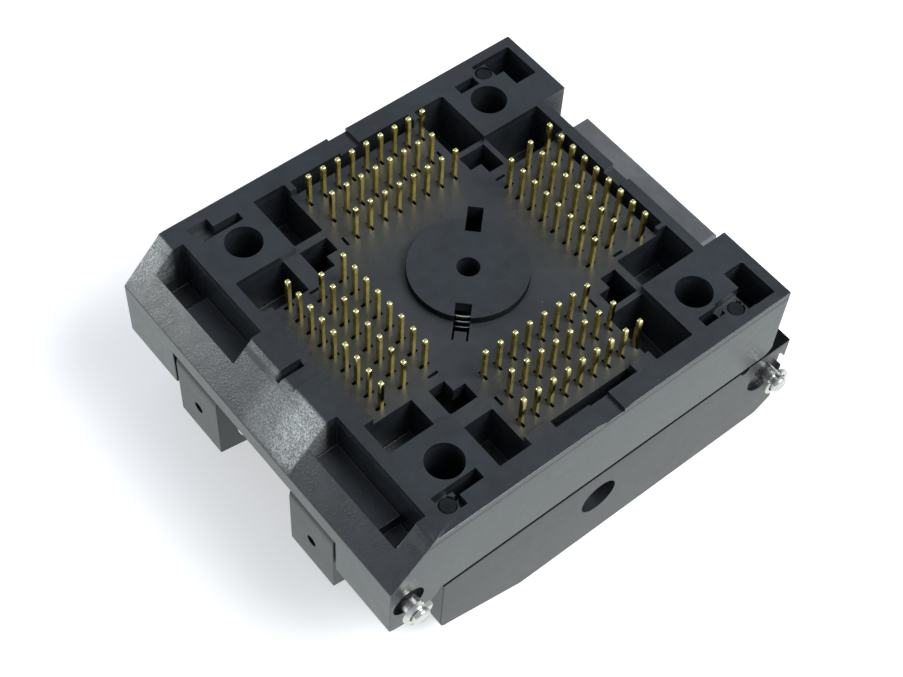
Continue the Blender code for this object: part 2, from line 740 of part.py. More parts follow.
def lid(material):
    """The moulded lid: a tray with the hinge arms, the latch pocket and the pad's bosses."""
    bm = bmesh.new()
    add_prism(bm, lid_outline(), "x", (-HALF_WIDTH, HALF_WIDTH))
    body = piece("lid", bm, material)
    rim = LID_HEIGHT + PAST

    bm = bmesh.new()
    back = LID_END_FACE + WALL
    front = LATCH_POCKET_WALL - POCKET_WALL_THICKNESS
    tray = (
        (back, rim),
        (back, TRAY_SLOPE_TOP),
        (TRAY_SLOPE_START, LID_PLATE),
        (front, LID_PLATE),
        (front, rim),
    )
    add_prism(bm, tray, "x", (WALL - HALF_WIDTH, HALF_WIDTH - WALL))
    combine(body, "DIFFERENCE", "tray", bm)

    bm = bmesh.new()
    step = LATCH_FACE - LID_CHAMFER_RUN + POCKET_LIP
    floor = LATCH_FOOT - LATCH_FOOT_GAP
    pocket = (
        (LATCH_POCKET_WALL, floor),
        (step, floor),
        (step, -PAST),
        (LATCH_FACE + PAST, -PAST),
        (LATCH_FACE + PAST, rim),
        (LATCH_POCKET_WALL, rim),
    )
    half = LATCH_HALF + LATCH_SIDE_GAP
    add_prism(bm, pocket, "x", (-half, half))
    combine(body, "DIFFERENCE", "latch_pocket", bm)

    bm = bmesh.new()
    arm = arc((HINGE_Y, HINGE_Z), BARREL_RADIUS, 0, 180, 12) + [
        (HINGE_FACE, ARM_FOOT),
        (LID_END_FACE + SINK, ARM_ROOT),
        (LID_END_FACE + SINK, LID_HEIGHT - ARM_STEP),
        (HINGE_Y + BARREL_RADIUS, LID_HEIGHT - ARM_STEP),
    ]
    add_prism(bm, arm, "x", (-ARM_OUTER, -ARM_INNER))
    add_prism(bm, arm, "x", (ARM_INNER, ARM_OUTER))
    boss_top = PAD_BOTTOM - PAD_TRAVEL - SEAT_GAP
    for x in (-SCREW_PLACE, SCREW_PLACE):
        for y in (-SCREW_PLACE, SCREW_PLACE):
            profile = ((LID_PLATE - SEAT_GAP, BOSS_RADIUS), (boss_top, BOSS_RADIUS))
            add_turned(bm, "z", (x, y), profile, SMALL_SIDES)
    for x, y in pad_spring_places():
        ends = (LID_PLATE - SEAT_GAP, boss_top - SPRING_POST_DROP)
        add_turned(bm, "z", (x, y), [(z, SPRING_POST_RADIUS) for z in ends], SMALL_SIDES)
    combine(body, "UNION", "arms_and_bosses", bm)

    bm = bmesh.new()
    bore = SHAFT_RADIUS + SHAFT_FIT
    inside = HALF_WIDTH - RECESS_DEPTH
    outside = HALF_WIDTH + PAST
    latch_axis = (LATCH_Y, LATCH_Z)
    for side in (-1, 1):
        profile = (
            (LATCH_HALF, bore),
            (inside, bore),
            (inside, LATCH_RECESS_RADIUS),
            (outside, LATCH_RECESS_RADIUS),
        )
        add_turned(bm, "x", latch_axis, [(side * x, radius) for x, radius in profile], 24)
        hinge_bore = [(side * (ARM_INNER - PAST), bore), (side * (ARM_OUTER + PAST), bore)]
        add_turned(bm, "x", (HINGE_Y, HINGE_Z), hinge_bore, 16)
        depth = HALF_WIDTH - SIDE_HOLE_DEPTH
        side_hole = [(side * depth, SIDE_HOLE_RADIUS), (side * outside, SIDE_HOLE_RADIUS)]
        add_turned(bm, "x", SIDE_HOLE_PLACE, side_hole)
        x, z = ARM_HOLE_PLACE
        arm_hole = [(HINGE_FACE + along, ARM_HOLE_RADIUS) for along in (-PAST, ARM_HOLE_DEPTH)]
        add_turned(bm, "y", (side * x, z), arm_hole, SMALL_SIDES)
        ends = (HALF_WIDTH - PARTING_NOTCH_DEPTH, outside)
        notch = [(side * along, PARTING_NOTCH_RADIUS) for along in ends]
        add_turned(bm, "x", (PARTING_NOTCH_PLACE, LID_HEIGHT), notch, SMALL_SIDES)
    for x in (-SCREW_PLACE, SCREW_PLACE):
        for y in (-SCREW_PLACE, SCREW_PLACE):
            radius = SCREW_RADIUS + SHAFT_FIT
            ends = ((SCREW_FOOT - SEAT_GAP, radius), (rim, radius))
            add_turned(bm, "z", (x, y), ends, SMALL_SIDES)
    combine(body, "DIFFERENCE", "bores", bm)
    return body


def pad_spring_places():
    """Centres of the four springs under the pressure pad."""
    x, y = PAD_SPRING_PLACE
    return [(sx * x, sy * y) for sx in (-1, 1) for sy in (-1, 1)]


def pressure_pad(material):
    """The sprung pad in the lid: four bars press the leads, and the middle presses the body."""
    bm = bmesh.new()
    side = (-PAD_HALF, PAD_HALF)
    top = PAD_BOTTOM + PAD_THICKNESS
    add_box(bm, side, side, (PAD_BOTTOM, top))
    pad = piece("pressure_pad", bm, material)

    bm = bmesh.new()

    def add_bar(target):
        outline = (
            (BAR_INNER, top - SINK),
            (BAR_OUTER, top - SINK),
            (BAR_OUTER, BAR_TOP - BAR_CHAMFER),
            (BAR_OUTER - BAR_CHAMFER, BAR_TOP),
            (BAR_INNER, BAR_TOP),
        )
        add_prism(target, outline, "x", (-BAR_HALF_LENGTH, BAR_HALF_LENGTH))

    add_around(bm, add_bar, (0, 90, 180, 270))
    middle = (-PUSHER_HALF, PUSHER_HALF)
    add_box(bm, middle, middle, (top - SINK, PUSHER_TOP))
    combine(pad, "UNION", "bars", bm)

    bm = bmesh.new()
    for x, y in pad_spring_places():
        radius = PAD_SPRING_RADIUS + PAD_SPRING_WIRE + 2 * PAD_HOLE_GAP
        pocket = ((PAD_BOTTOM - PAST, radius), (PAD_BOTTOM + PAD_SPRING_POCKET, radius))
        add_turned(bm, "z", (x, y), pocket, 16)
    for x in (-SCREW_PLACE, SCREW_PLACE):
        for y in (-SCREW_PLACE, SCREW_PLACE):
            radius = SCREW_RADIUS + PAD_HOLE_GAP
            ends = ((PAD_BOTTOM - PAST, radius), (top + PAST, radius))
            add_turned(bm, "z", (x, y), ends, SMALL_SIDES)
    combine(pad, "DIFFERENCE", "holes", bm)
    return pad


def pad_screw(name, place, material):
    """A shoulder screw that holds the pad in the lid, with a slotted head."""
    bm = bmesh.new()
    under_head = PAD_BOTTOM + PAD_THICKNESS + SEAT_GAP
    top = under_head + SCREW_HEAD_HEIGHT
    profile = (
        (SCREW_FOOT, SCREW_RADIUS),
        (under_head, SCREW_RADIUS),
        (under_head, SCREW_HEAD_RADIUS),
        (top - TURNED_CHAMFER, SCREW_HEAD_RADIUS),
        (top, SCREW_HEAD_RADIUS - TURNED_CHAMFER),
    )
    add_turned(bm, "z", place, profile, SMALL_SIDES)
    screw = piece(name, bm, material)
    bm = bmesh.new()
    x, y = place
    reach = SCREW_HEAD_RADIUS + PAST
    half = SCREW_SLOT_WIDTH / 2
    add_box(bm, (x - reach, x + reach), (y - half, y + half), (top - SCREW_SLOT_DEPTH, top + PAST))
    combine(screw, "DIFFERENCE", "slot", bm)
    return screw


def pad_spring(name, place, material):
    """A compression spring between the lid and the pressure pad."""
    bm = bmesh.new()
    span = (
        LID_PLATE + SEAT_GAP + PAD_SPRING_WIRE,
        PAD_BOTTOM + PAD_SPRING_POCKET - SEAT_GAP - PAD_SPRING_WIRE,
    )
    path = coil("z", place, span, PAD_SPRING_RADIUS, 0, PAD_SPRING_TURNS * 360, 8)
    add_wire(bm, path, PAD_SPRING_WIRE)
    return piece(name, bm, material)


def shaft(name, axis_place, flush_end, material):
    """A turned steel shaft: a ring groove at each end, or a plain flush end on the left."""
    end = HALF_WIDTH + SHAFT_OVERHANG
    outer = end - RING_GROOVE_INSET
    inner = outer - RING_THICKNESS - 2 * PRESS_FIT
    half = (
        (inner, SHAFT_RADIUS),
        (inner, RING_GROOVE_RADIUS),
        (outer, RING_GROOVE_RADIUS),
        (outer, SHAFT_RADIUS),
        (end - TURNED_CHAMFER, SHAFT_RADIUS),
        (end, SHAFT_RADIUS - TURNED_CHAMFER),
    )
    left = [(-x, radius) for x, radius in reversed(half)]
    if flush_end:
        end = HALF_WIDTH - FLUSH_END_GAP
        left = [(-end, SHAFT_RADIUS - TURNED_CHAMFER), (TURNED_CHAMFER - end, SHAFT_RADIUS)]
    bm = bmesh.new()
    add_turned(bm, "x", axis_place, left + list(half), SMALL_SIDES)
    return piece(name, bm, material)


def snap_ring(name, axis_place, side, mouth, material):
    """A stamped retaining ring: open on one side, with three teeth in the shaft's groove."""
    grip = RING_GROOVE_RADIUS + SHAFT_FIT
    hollow = (grip + RING_RADIUS) / 2
    outline = arc(axis_place, RING_RADIUS, mouth + 35, mouth + 325, 16)
    for radius, start, end, steps in (
        (grip, 325, 300, 1),
        (hollow, 290, 210, 4),
        (grip, 200, 160, 2),
        (hollow, 150, 70, 4),
        (grip, 60, 35, 1),
    ):
        outline += arc(axis_place, radius, mouth + start, mouth + end, steps)
    outer = HALF_WIDTH + SHAFT_OVERHANG - RING_GROOVE_INSET - PRESS_FIT
    bm = bmesh.new()
    add_prism(bm, outline, "x", (side * (outer - RING_THICKNESS), side * outer))
    return piece(name, bm, material)


def hinge_spring(material):
    """The torsion spring between the arms: one leg on the lid's end wall, one under the base."""
    bm = bmesh.new()
    centre = (HINGE_Y, HINGE_Z)
    radius = HINGE_SPRING_RADIUS
    span = (-HINGE_SPRING_HALF, HINGE_SPRING_HALF)
    path = coil("x", centre, span, radius, 0, HINGE_SPRING_TURNS * 360)
    lid_leg = (span[0], LID_END_FACE - SEAT_GAP - HINGE_SPRING_WIRE, HINGE_SPRING_FOOT)
    base_leg = (span[1], HINGE_SPRING_REACH, HINGE_Z - radius)
    add_wire(bm, [lid_leg] + path + [base_leg], HINGE_SPRING_WIRE)
    return piece("hinge_spring", bm, material)


def latch_lever(material):
    """The latch: hook above its shaft, thumb pad below, and a window for its spring."""
    bm = bmesh.new()
    inner = LATCH_OUTER - LATCH_THICKNESS
    hook_tip = LATCH_OUTER - HOOK_REACH
    under_hook = LATCH_TOP - HOOK_THICKNESS
    reach = math.degrees(math.acos((inner - LATCH_Y) / LATCH_BOSS_RADIUS))
    run, rise = THUMB_CHAMFER
    outline = (
        [(hook_tip, under_hook), (inner, under_hook)]
        + arc((LATCH_Y, LATCH_Z), LATCH_BOSS_RADIUS, reach, 360 - reach, 10)
        + [
            (inner, LATCH_FOOT),
            (THUMB_FACE - run, LATCH_FOOT),
            (THUMB_FACE, LATCH_FOOT + rise),
            (THUMB_FACE, THUMB_TOP),
            (LATCH_OUTER, THUMB_TOP + THUMB_SLOPE),
        ]
        + fillet((LATCH_OUTER, 0), (LATCH_OUTER, LATCH_TOP), (0, LATCH_TOP), LATCH_EDGE_ROUND)
        + [(hook_tip + HOOK_TIP_RUN, LATCH_TOP), (hook_tip, LATCH_TOP - HOOK_TIP_DROP)]
    )
    add_prism(bm, outline, "x", (-LATCH_HALF, LATCH_HALF))
    lever = piece("latch_lever", bm, material)

    bm = bmesh.new()
    bore = SHAFT_RADIUS + SHAFT_FIT
    ends = ((-LATCH_HALF - PAST, bore), (LATCH_HALF + PAST, bore))
    add_turned(bm, "x", (LATCH_Y, LATCH_Z), ends, 20)
    combine(lever, "DIFFERENCE", "bore", bm)

    bm = bmesh.new()
    tall = LATCH_BOSS_RADIUS
    first, last = LATCH_SPRING_SPAN
    across = (first - LATCH_WINDOW_MARGIN, last + LATCH_WINDOW_MARGIN)
    add_box(bm, across, (hook_tip, LATCH_FACE + PAST), (LATCH_Z - tall, LATCH_Z + tall))
    combine(lever, "DIFFERENCE", "spring_window", bm)

    bm = bmesh.new()
    groove = (THUMB_FACE - GRIP_DEPTH, THUMB_FACE + PAST)
    for step in range(GRIP_COUNT):
        low = GRIP_START + step
        add_box(bm, (-GRIP_HALF, GRIP_HALF), groove, (low, low + GRIP_WIDTH))
    combine(lever, "DIFFERENCE", "grip", bm)
    return lever


def latch_spring(material):
    """The torsion spring on the latch's shaft, one leg on the lever and one on the lid."""
    bm = bmesh.new()
    centre = (LATCH_Y, LATCH_Z)
    span = LATCH_SPRING_SPAN
    radius = LATCH_SPRING_RADIUS
    path = coil("x", centre, span, radius, 180, 180 - LATCH_SPRING_TURNS * 360)
    inner = LATCH_OUTER - LATCH_THICKNESS
    lever_leg = (span[0], inner - SEAT_GAP - LATCH_SPRING_WIRE, LATCH_SPRING_FOOT)
    wall = LATCH_POCKET_WALL + SEAT_GAP + LATCH_SPRING_WIRE
    lid_leg = (span[1], wall, LATCH_SPRING_HEAD)
    add_wire(bm, [lever_leg] + path + [lid_leg], LATCH_SPRING_WIRE)
    return piece("latch_spring", bm, material)


def build():
    """Makes every piece and hangs the moving ones from their axes."""
    clear_scene()
    housing = plain_material("housing_black", (0.030, 0.032, 0.037), 0.5, 0.0)
    cover = plain_material("lid_black", (0.028, 0.030, 0.034), 0.5, 0.0)
    inner = plain_material("inner_black", (0.022, 0.022, 0.024), 0.55, 0.0)
    latch = plain_material("latch_grey", (0.11, 0.115, 0.12), 0.45, 0.0)
    steel = plain_material("bright_steel", (0.62, 0.61, 0.58), 0.3, 1.0)
    spring = plain_material("spring_steel", (0.55, 0.55, 0.53), 0.35, 1.0)
    hinge_axis = axis_empty("lid_hinge_axis", (0, HINGE_Y, HINGE_Z))
    latch_axis = axis_empty("latch_hinge_axis", (0, LATCH_Y, LATCH_Z))
    pad_axis = axis_empty("pad_slide_axis", (0, 0, PAD_BOTTOM))
    stage_axis = axis_empty("stage_slide_axis", (0, 0, STAGE_TOP))
    hang(stage_axis, hinge_axis)

    hang(base_housing(housing), hinge_axis)
    hang(contact_guide(inner), hinge_axis)
    hang(stage_spring(spring), hinge_axis)
    hang(package_stage(inner), stage_axis)
    hang(latch_lever(latch), latch_axis)
    hang(pressure_pad(inner), pad_axis)

    lid(cover)
    shaft("hinge_shaft", (HINGE_Y, HINGE_Z), True, steel)
    shaft("latch_shaft", (LATCH_Y, LATCH_Z), False, steel)
    snap_ring("hinge_ring", (HINGE_Y, HINGE_Z), 1, 40, steel)
    for side, label in ((-1, "left"), (1, "right")):
        snap_ring(f"latch_ring_{label}", (LATCH_Y, LATCH_Z), side, 110, steel)
    hinge_spring(spring)
    latch_spring(spring)
    for number, place in enumerate(pad_spring_places(), 1):
        pad_spring(f"pad_spring_{number}", place, spring)
    corners = [(x, y) for x in (-SCREW_PLACE, SCREW_PLACE) for y in (-SCREW_PLACE, SCREW_PLACE)]
    for number, place in enumerate(corners, 1):
        pad_screw(f"pad_screw_{number}", place, steel)


build()
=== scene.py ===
"""Looks of a clamshell test socket for a flat integrated circuit, laid closed on its lid.

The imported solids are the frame. The moulded pieces are copies of their solids with rounded
edges and a glass-filled plastic. The contact tails, shafts, rings and springs are new
surfaces worked out from the sizes in the panel, and the pad's screws keep their solids.
Lengths are in metres, except in the tables that say millimetres.
"""

import math
from itertools import product

import bmesh
import bpy
import numpy as np
from bpy.props import FloatProperty, FloatVectorProperty, IntProperty, PointerProperty
from mathutils import Matrix, Vector


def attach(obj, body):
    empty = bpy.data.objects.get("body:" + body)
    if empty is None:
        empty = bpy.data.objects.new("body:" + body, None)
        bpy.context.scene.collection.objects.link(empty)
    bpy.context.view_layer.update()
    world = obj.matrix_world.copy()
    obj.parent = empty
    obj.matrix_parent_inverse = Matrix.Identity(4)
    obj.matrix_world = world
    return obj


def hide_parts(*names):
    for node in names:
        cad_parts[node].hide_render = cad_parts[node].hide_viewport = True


bl_info = {
    "name": "Flat Pack Test Socket",
    "version": (1, 0, 0),
    "blender": (4, 5, 0),
    "location": "3D View > Sidebar > Test Socket",
    "description": "Dresses the solids of a clamshell test socket in their real finishes",
    "category": "Add Mesh",
}

MM = 0.001
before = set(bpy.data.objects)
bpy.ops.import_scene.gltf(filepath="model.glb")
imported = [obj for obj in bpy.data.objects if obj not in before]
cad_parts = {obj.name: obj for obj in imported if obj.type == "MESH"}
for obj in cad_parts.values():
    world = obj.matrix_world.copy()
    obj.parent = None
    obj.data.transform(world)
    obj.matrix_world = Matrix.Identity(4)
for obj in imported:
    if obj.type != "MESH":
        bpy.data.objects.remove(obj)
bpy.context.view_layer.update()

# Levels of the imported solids
PARTING_LEVEL = 10.3 * MM
SLOPE_FOOT = 15.4 * MM
FLOOR_LEVEL = 18.6 * MM
SEAT_LEVEL = 19.3 * MM
TIP_LEVEL = 22.1 * MM

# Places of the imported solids: the slope's top edge and the far rim along y, the side rims
# and the shafts' ends along x, the raised middle, and the shafts' axes as (y, z)
SLOPE_TOP = -18.08 * MM
FAR_RIM = 19.3 * MM
SIDE_RIM = 17.9 * MM
SHAFT_END = 19.8 * MM
FLUSH_END = 17.9 * MM
DISC_RADIUS = 5.12 * MM
HINGE_AXIS = (-20.2 * MM, 12.25 * MM)
LATCH_AXIS = (19.9 * MM, 7.0 * MM)

# Contact tails of one bank, row by row: distance from the middle and place of the first
# tail, in millimetres, and their number
PIN_ROWS = ((13.70, -6.0, 9), (11.14, -5.5, 8), (8.60, -5.0, 8))

# Where the contacts' spring fingers lie: distance from the middle planes, and height
FINGER_REACH = (7.55 * MM, 9.94 * MM)
FINGER_HEIGHT = (12.38 * MM, 16.4 * MM)

# Small recesses of the seating face, beside the far pegs and in the hinge side's rim:
# ranges along x and y, and depth, in millimetres
RECESSES = (
    ((15.0, 15.8), (13.5, 16.4), 1.2),
    ((15.7, 17.05), (15.45, 16.4), 1.2),
    ((-17.0, -14.9), (15.45, 16.4), 2.5),
    ((-17.0, -16.6), (14.3, 16.4), 2.5),
    ((-1.05, -0.5), (-18.7, -16.2), 1.6),
)

# Frosted patches of the hinge side's slope, whose pale crackled colour is a painted
# highlight and sparkle: x, y and radius in millimetres, and strength, and where the
# frosted patches end along x
FROST_AND_HIGHLIGHT_PATCHES = ((-18.2, -19.6, 2.4, 1.0), (1.6, -19.8, 3.4, 0.45), (4.4, -19.4, 3.0, 0.75))
FROST_AND_HIGHLIGHT_END = 4.95 * MM

# Points closer than this are one. Edges that turn by more than the first angle look sharp,
# and the longer ones that turn by more than the second one are rounded in so many steps.
MERGE_DISTANCE = 2e-7
SHARP_ANGLE = math.radians(35)
ROUNDED_ANGLE = math.radians(40)
SHORTEST_ROUNDED = 0.45 * MM
ROUNDING_SEGMENTS = 3

# Facets round a shaft
SHAFT_SIDES = 40

# The photograph's view, fitted to the contact tips: angles in degrees, place in
# millimetres, and focal length and width of the picture in its pixels
VIEW_AZIMUTH = 47.09
VIEW_ELEVATION = 55.3925
VIEW_ROLL = 4.6306
VIEW_PLACE = (61.40, -58.31, 131.53)
FOCAL_PIXELS = 1719.0
PICTURE_PIXELS = 903
SENSOR_WIDTH = 36

# Light: the world's colour and strength, the point that the soft lamps face, and each
# lamp's place, side, power in watts and colour
WORLD_COLOUR = (0.90, 0.99, 1.12, 1)
WORLD_STRENGTH = 0.46
LAMP_AIM = (0, 0, 12 * MM)
LAMPS = {
    "softbox_left": ((-0.262, -0.327, 0.123), 0.09, 0.3, (0.97, 1, 0.98)),
    "softbox_right": ((0.36, 0.24, 0.5), 0.4, 5.0, (0.97, 1, 0.99)),
}

# Half of the floor's side
FLOOR_REACH = 1.5


# Meshes


def mesh_from(name, points, faces):
    """A mesh object at the origin, smooth but for its sharp edges."""
    mesh = bpy.data.meshes.new(name)
    mesh.from_pydata(np.asarray(points, float).reshape(-1, 3).tolist(), [], faces)
    mesh.validate()
    obj = bpy.data.objects.new(name, mesh)
    bpy.context.scene.collection.objects.link(obj)
    mesh.shade_smooth()
    mesh.set_sharp_from_angle(angle=SHARP_ANGLE)
    return obj


def outward(obj):
    """Turns the faces of a closed mesh outwards."""
    bm = bmesh.new()
    bm.from_mesh(obj.data)
    bmesh.ops.recalc_face_normals(bm, faces=bm.faces)
    bm.to_mesh(obj.data)
    bm.free()
    return obj


def wall_faces(rings, sides):
    """Quads between closed rings, where point j of ring i has the index i * sides + j."""
    i, j = (a.ravel() for a in np.meshgrid(np.arange(rings - 1), np.arange(sides), indexing="ij"))
    after = (j + 1) % sides
    return np.stack((i * sides + j, i * sides + after, (i + 1) * sides + after, (i + 1) * sides + j), 1)


def capped_faces(rings, sides):
    """The quads between closed rings, and a flat cap on the last ring and on the first."""
    last = list(range((rings - 1) * sides, rings * sides))
    first = list(range(sides))[::-1]
    return wall_faces(rings, sides).tolist() + [last, first]


def turned(profile, sides):
    """Points and faces of a turned form.

    Point (i, j) stands at profile[i] = (place, radius), at the angle 2 pi j / sides:
    (place, radius * cos, radius * sin). The first and last rings are closed by flat caps.
    """
    profile = np.asarray(profile, float)
    angle = np.linspace(0, 2 * np.pi, sides, endpoint=False)
    place = np.repeat(profile[:, :1], sides, 1)
    across = np.outer(profile[:, 1], np.cos(angle))
    up = np.outer(profile[:, 1], np.sin(angle))
    points = np.stack((place, across, up), -1)
    return points.reshape(-1, 3), capped_faces(len(profile), sides)


def swept(path, radius, axis, sides):
    """Points and faces of a round wire.

    Point (i, j) is path[i] + radius * (cos * across + sin * up), where across is the
    path's direction times the axis, up is across times the direction, and the angle is
    2 pi j / sides. Two smaller rings at each end round it off.
    """
    path = np.asarray(path, float)
    along = np.gradient(path, axis=0)
    along /= np.linalg.norm(along, axis=1, keepdims=True)
    across = np.cross(along, axis)
    across /= np.linalg.norm(across, axis=1, keepdims=True)
    up = np.cross(across, along)
    angle = np.linspace(0, 2 * np.pi, sides, endpoint=False)
    cos, sin = np.cos(angle)[None, :, None], np.sin(angle)[None, :, None]
    ring = cos * across[:, None] + sin * up[:, None]
    # The two end rings' distance from the path's end and their width, in wire radii
    past_end = np.array(((0.9,), (0.5,)))
    narrow = np.array((0.4, 0.86))
    head = path[0] - along[0] * radius * past_end
    tail = path[-1] + along[-1] * radius * past_end[::-1]
    centres = np.concatenate((head, path, tail))
    width = np.concatenate((narrow, np.ones(len(path)), narrow[::-1])) * radius
    rings = np.concatenate((ring[:1], ring[:1], ring, ring[-1:], ring[-1:]))
    points = centres[:, None] + rings * width[:, None, None]
    return points.reshape(-1, 3), capped_faces(len(centres), sides)


def helix(axis, centre, span, radius, first, last, steps=40):
    """Points of a helix, with that many steps a turn.

    The place along the axis runs evenly over the span as the angle runs from the first to
    the last, in degrees, and the other two coordinates are centre + radius * (cos, sin).
    """
    count = int(abs(last - first) / 360 * steps) + 1
    angle = np.radians(np.linspace(first, last, count))
    place = np.linspace(span[0], span[1], count)
    u = centre[0] + radius * np.cos(angle)
    v = centre[1] + radius * np.sin(angle)
    order = {"x": (place, u, v), "z": (u, v, place)}[axis]
    return np.stack(order, 1)


def with_legs(coil, start, end, points=12):
    """The coil's path with a straight leg from the start to it, and one from it to the end."""
    before = np.linspace(start, coil[0], points)[:-1]
    after = np.linspace(coil[-1], end, points)[1:]
    return np.concatenate((before, coil, after))


def mesh_arrays(mesh):
    """A mesh's points, merged where they coincide, and its triangles."""
    mesh.calc_loop_triangles()
    points = np.zeros(len(mesh.vertices) * 3)
    mesh.vertices.foreach_get("co", points)
    triangles = np.zeros(len(mesh.loop_triangles) * 3, int)
    mesh.loop_triangles.foreach_get("vertices", triangles)
    points = points.reshape(-1, 3)
    cell = np.round(points / MERGE_DISTANCE).astype(int)
    _, kept, merged = np.unique(cell, axis=0, return_index=True, return_inverse=True)
    triangles = merged.ravel()[triangles].reshape(-1, 3)
    sound = (triangles != np.roll(triangles, 1, axis=1)).all(1)
    return points[kept], triangles[sound]


def solid_arrays(node):
    """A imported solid's points, merged where they coincide, and its triangles."""
    return mesh_arrays(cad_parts[node].data)


def cut_boxes(points, triangles, boxes):
    """The closed shape without the boxes, each given by its low and its high corner."""
    body = mesh_from("uncut", points, triangles.tolist())
    sides = [(0, 1, 3, 2), (4, 6, 7, 5), (0, 4, 5, 1), (2, 3, 7, 6), (0, 2, 6, 4), (1, 5, 7, 3)]
    tools = []
    for low, high in boxes:
        tool = mesh_from("relief", list(product(*zip(low, high))), sides)
        cut = body.modifiers.new("relief", "BOOLEAN")
        cut.operation = "DIFFERENCE"
        cut.solver = "EXACT"
        cut.object = tool
        tools.append(tool)
    evaluated = body.evaluated_get(bpy.context.evaluated_depsgraph_get())
    arrays = mesh_arrays(evaluated.to_mesh())
    evaluated.to_mesh_clear()
    for obj in (body, *tools):
        bpy.data.objects.remove(obj, do_unlink=True)
    return arrays


def merged_copy(name, points, triangles):
    """An object with those triangles, its flat regions cut again into well-shaped ones."""
    obj = mesh_from(name, points, triangles.tolist())
    bm = bmesh.new()
    bm.from_mesh(obj.data)
    loose = [vertex for vertex in bm.verts if not vertex.link_faces]
    bmesh.ops.delete(bm, geom=loose, context="VERTS")
    flat = math.radians(0.6)
    bmesh.ops.dissolve_limit(bm, angle_limit=flat, verts=bm.verts, edges=bm.edges, delimit={"NORMAL"})
    bmesh.ops.triangulate(bm, faces=bm.faces, quad_method="BEAUTY", ngon_method="BEAUTY")
    bm.to_mesh(obj.data)
    bm.free()
    return obj


def round_edges(obj, width, share=lambda middle: 1.0):
    """Rounds the longer edges that turn clearly, and keeps the flats between them flat.

    The share is a function of an edge's middle, and it multiplies the width there.
    """
    mesh = obj.data
    bm = bmesh.new()
    bm.from_mesh(mesh)
    layer = bm.edges.layers.float.new("bevel_weight_edge")
    for edge in bm.edges:
        if len(edge.link_faces) != 2 or edge.calc_length() < SHORTEST_ROUNDED:
            continue
        if edge.calc_face_angle(0.0) >= ROUNDED_ANGLE:
            edge[layer] = share((edge.verts[0].co + edge.verts[1].co) / 2)
    bm.to_mesh(mesh)
    bm.free()
    bevel = obj.modifiers.new("rounded edges", "BEVEL")
    bevel.limit_method = "WEIGHT"
    bevel.width = width
    bevel.segments = ROUNDING_SEGMENTS
    bevel.use_clamp_overlap = False
    bevel.harden_normals = False
    bevel.loop_slide = False
    bevel.miter_outer = "MITER_SHARP"
    evaluated = obj.evaluated_get(bpy.context.evaluated_depsgraph_get())
    rounded = bpy.data.meshes.new_from_object(evaluated)
    obj.modifiers.clear()
    obj.data = rounded
    rounded.shade_smooth()
    rounded.set_sharp_from_angle(angle=SHARP_ANGLE)
    flat = obj.modifiers.new("flat faces", "WEIGHTED_NORMAL")
    flat.mode = "FACE_AREA"
    flat.weight = 100
    flat.keep_sharp = True
    return obj


def dress(obj, body, slot, material, *nodes):
    """Gives a piece its finish and body, and hides the nodes it stands for. The slot is not used."""
    obj.data.materials.clear()
    obj.data.materials.append(material)
    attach(obj, body)
    if nodes:
        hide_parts(*nodes)
    return obj


# Materials


class Number:
    """A socket that holds a number and takes part in Python arithmetic."""

    def __init__(self, finish, socket):
        self.finish = finish
        self.socket = socket

    def _math(self, operation, *values):
        return self.finish.node("ShaderNodeMath", {"operation": operation}, dict(enumerate(values)))

    def __add__(self, other):
        return self._math("ADD", self, other)

    __radd__ = __add__

    def __sub__(self, other):
        return self._math("SUBTRACT", self, other)

    def __rsub__(self, other):
        return self._math("SUBTRACT", other, self)

    def __mul__(self, other):
        return self._math("MULTIPLY", self, other)

    __rmul__ = __mul__

    def __truediv__(self, other):
        return self._math("DIVIDE", self, other)

    def __rtruediv__(self, other):
        return self._math("DIVIDE", other, self)

    def __pow__(self, other):
        return self._math("POWER", self, other)

    def __rpow__(self, other):
        return self._math("POWER", other, self)

    def above(self, level, width):
        """0 below the level and 1 above it, with a smooth step of that width."""
        settings = {"interpolation_type": "SMOOTHSTEP"}
        inputs = {"Value": self, "From Min": level - width / 2, "From Max": level + width / 2}
        return self.finish.node("ShaderNodeMapRange", settings, inputs)

    def below(self, level, width):
        """1 below the level and 0 above it, with a smooth step of that width."""
        return 1 - self.above(level, width)

    def within(self, low, high, width):
        """1 between the two levels and 0 outside them, with smooth steps of that width."""
        return self.above(low, width) * self.below(high, width)


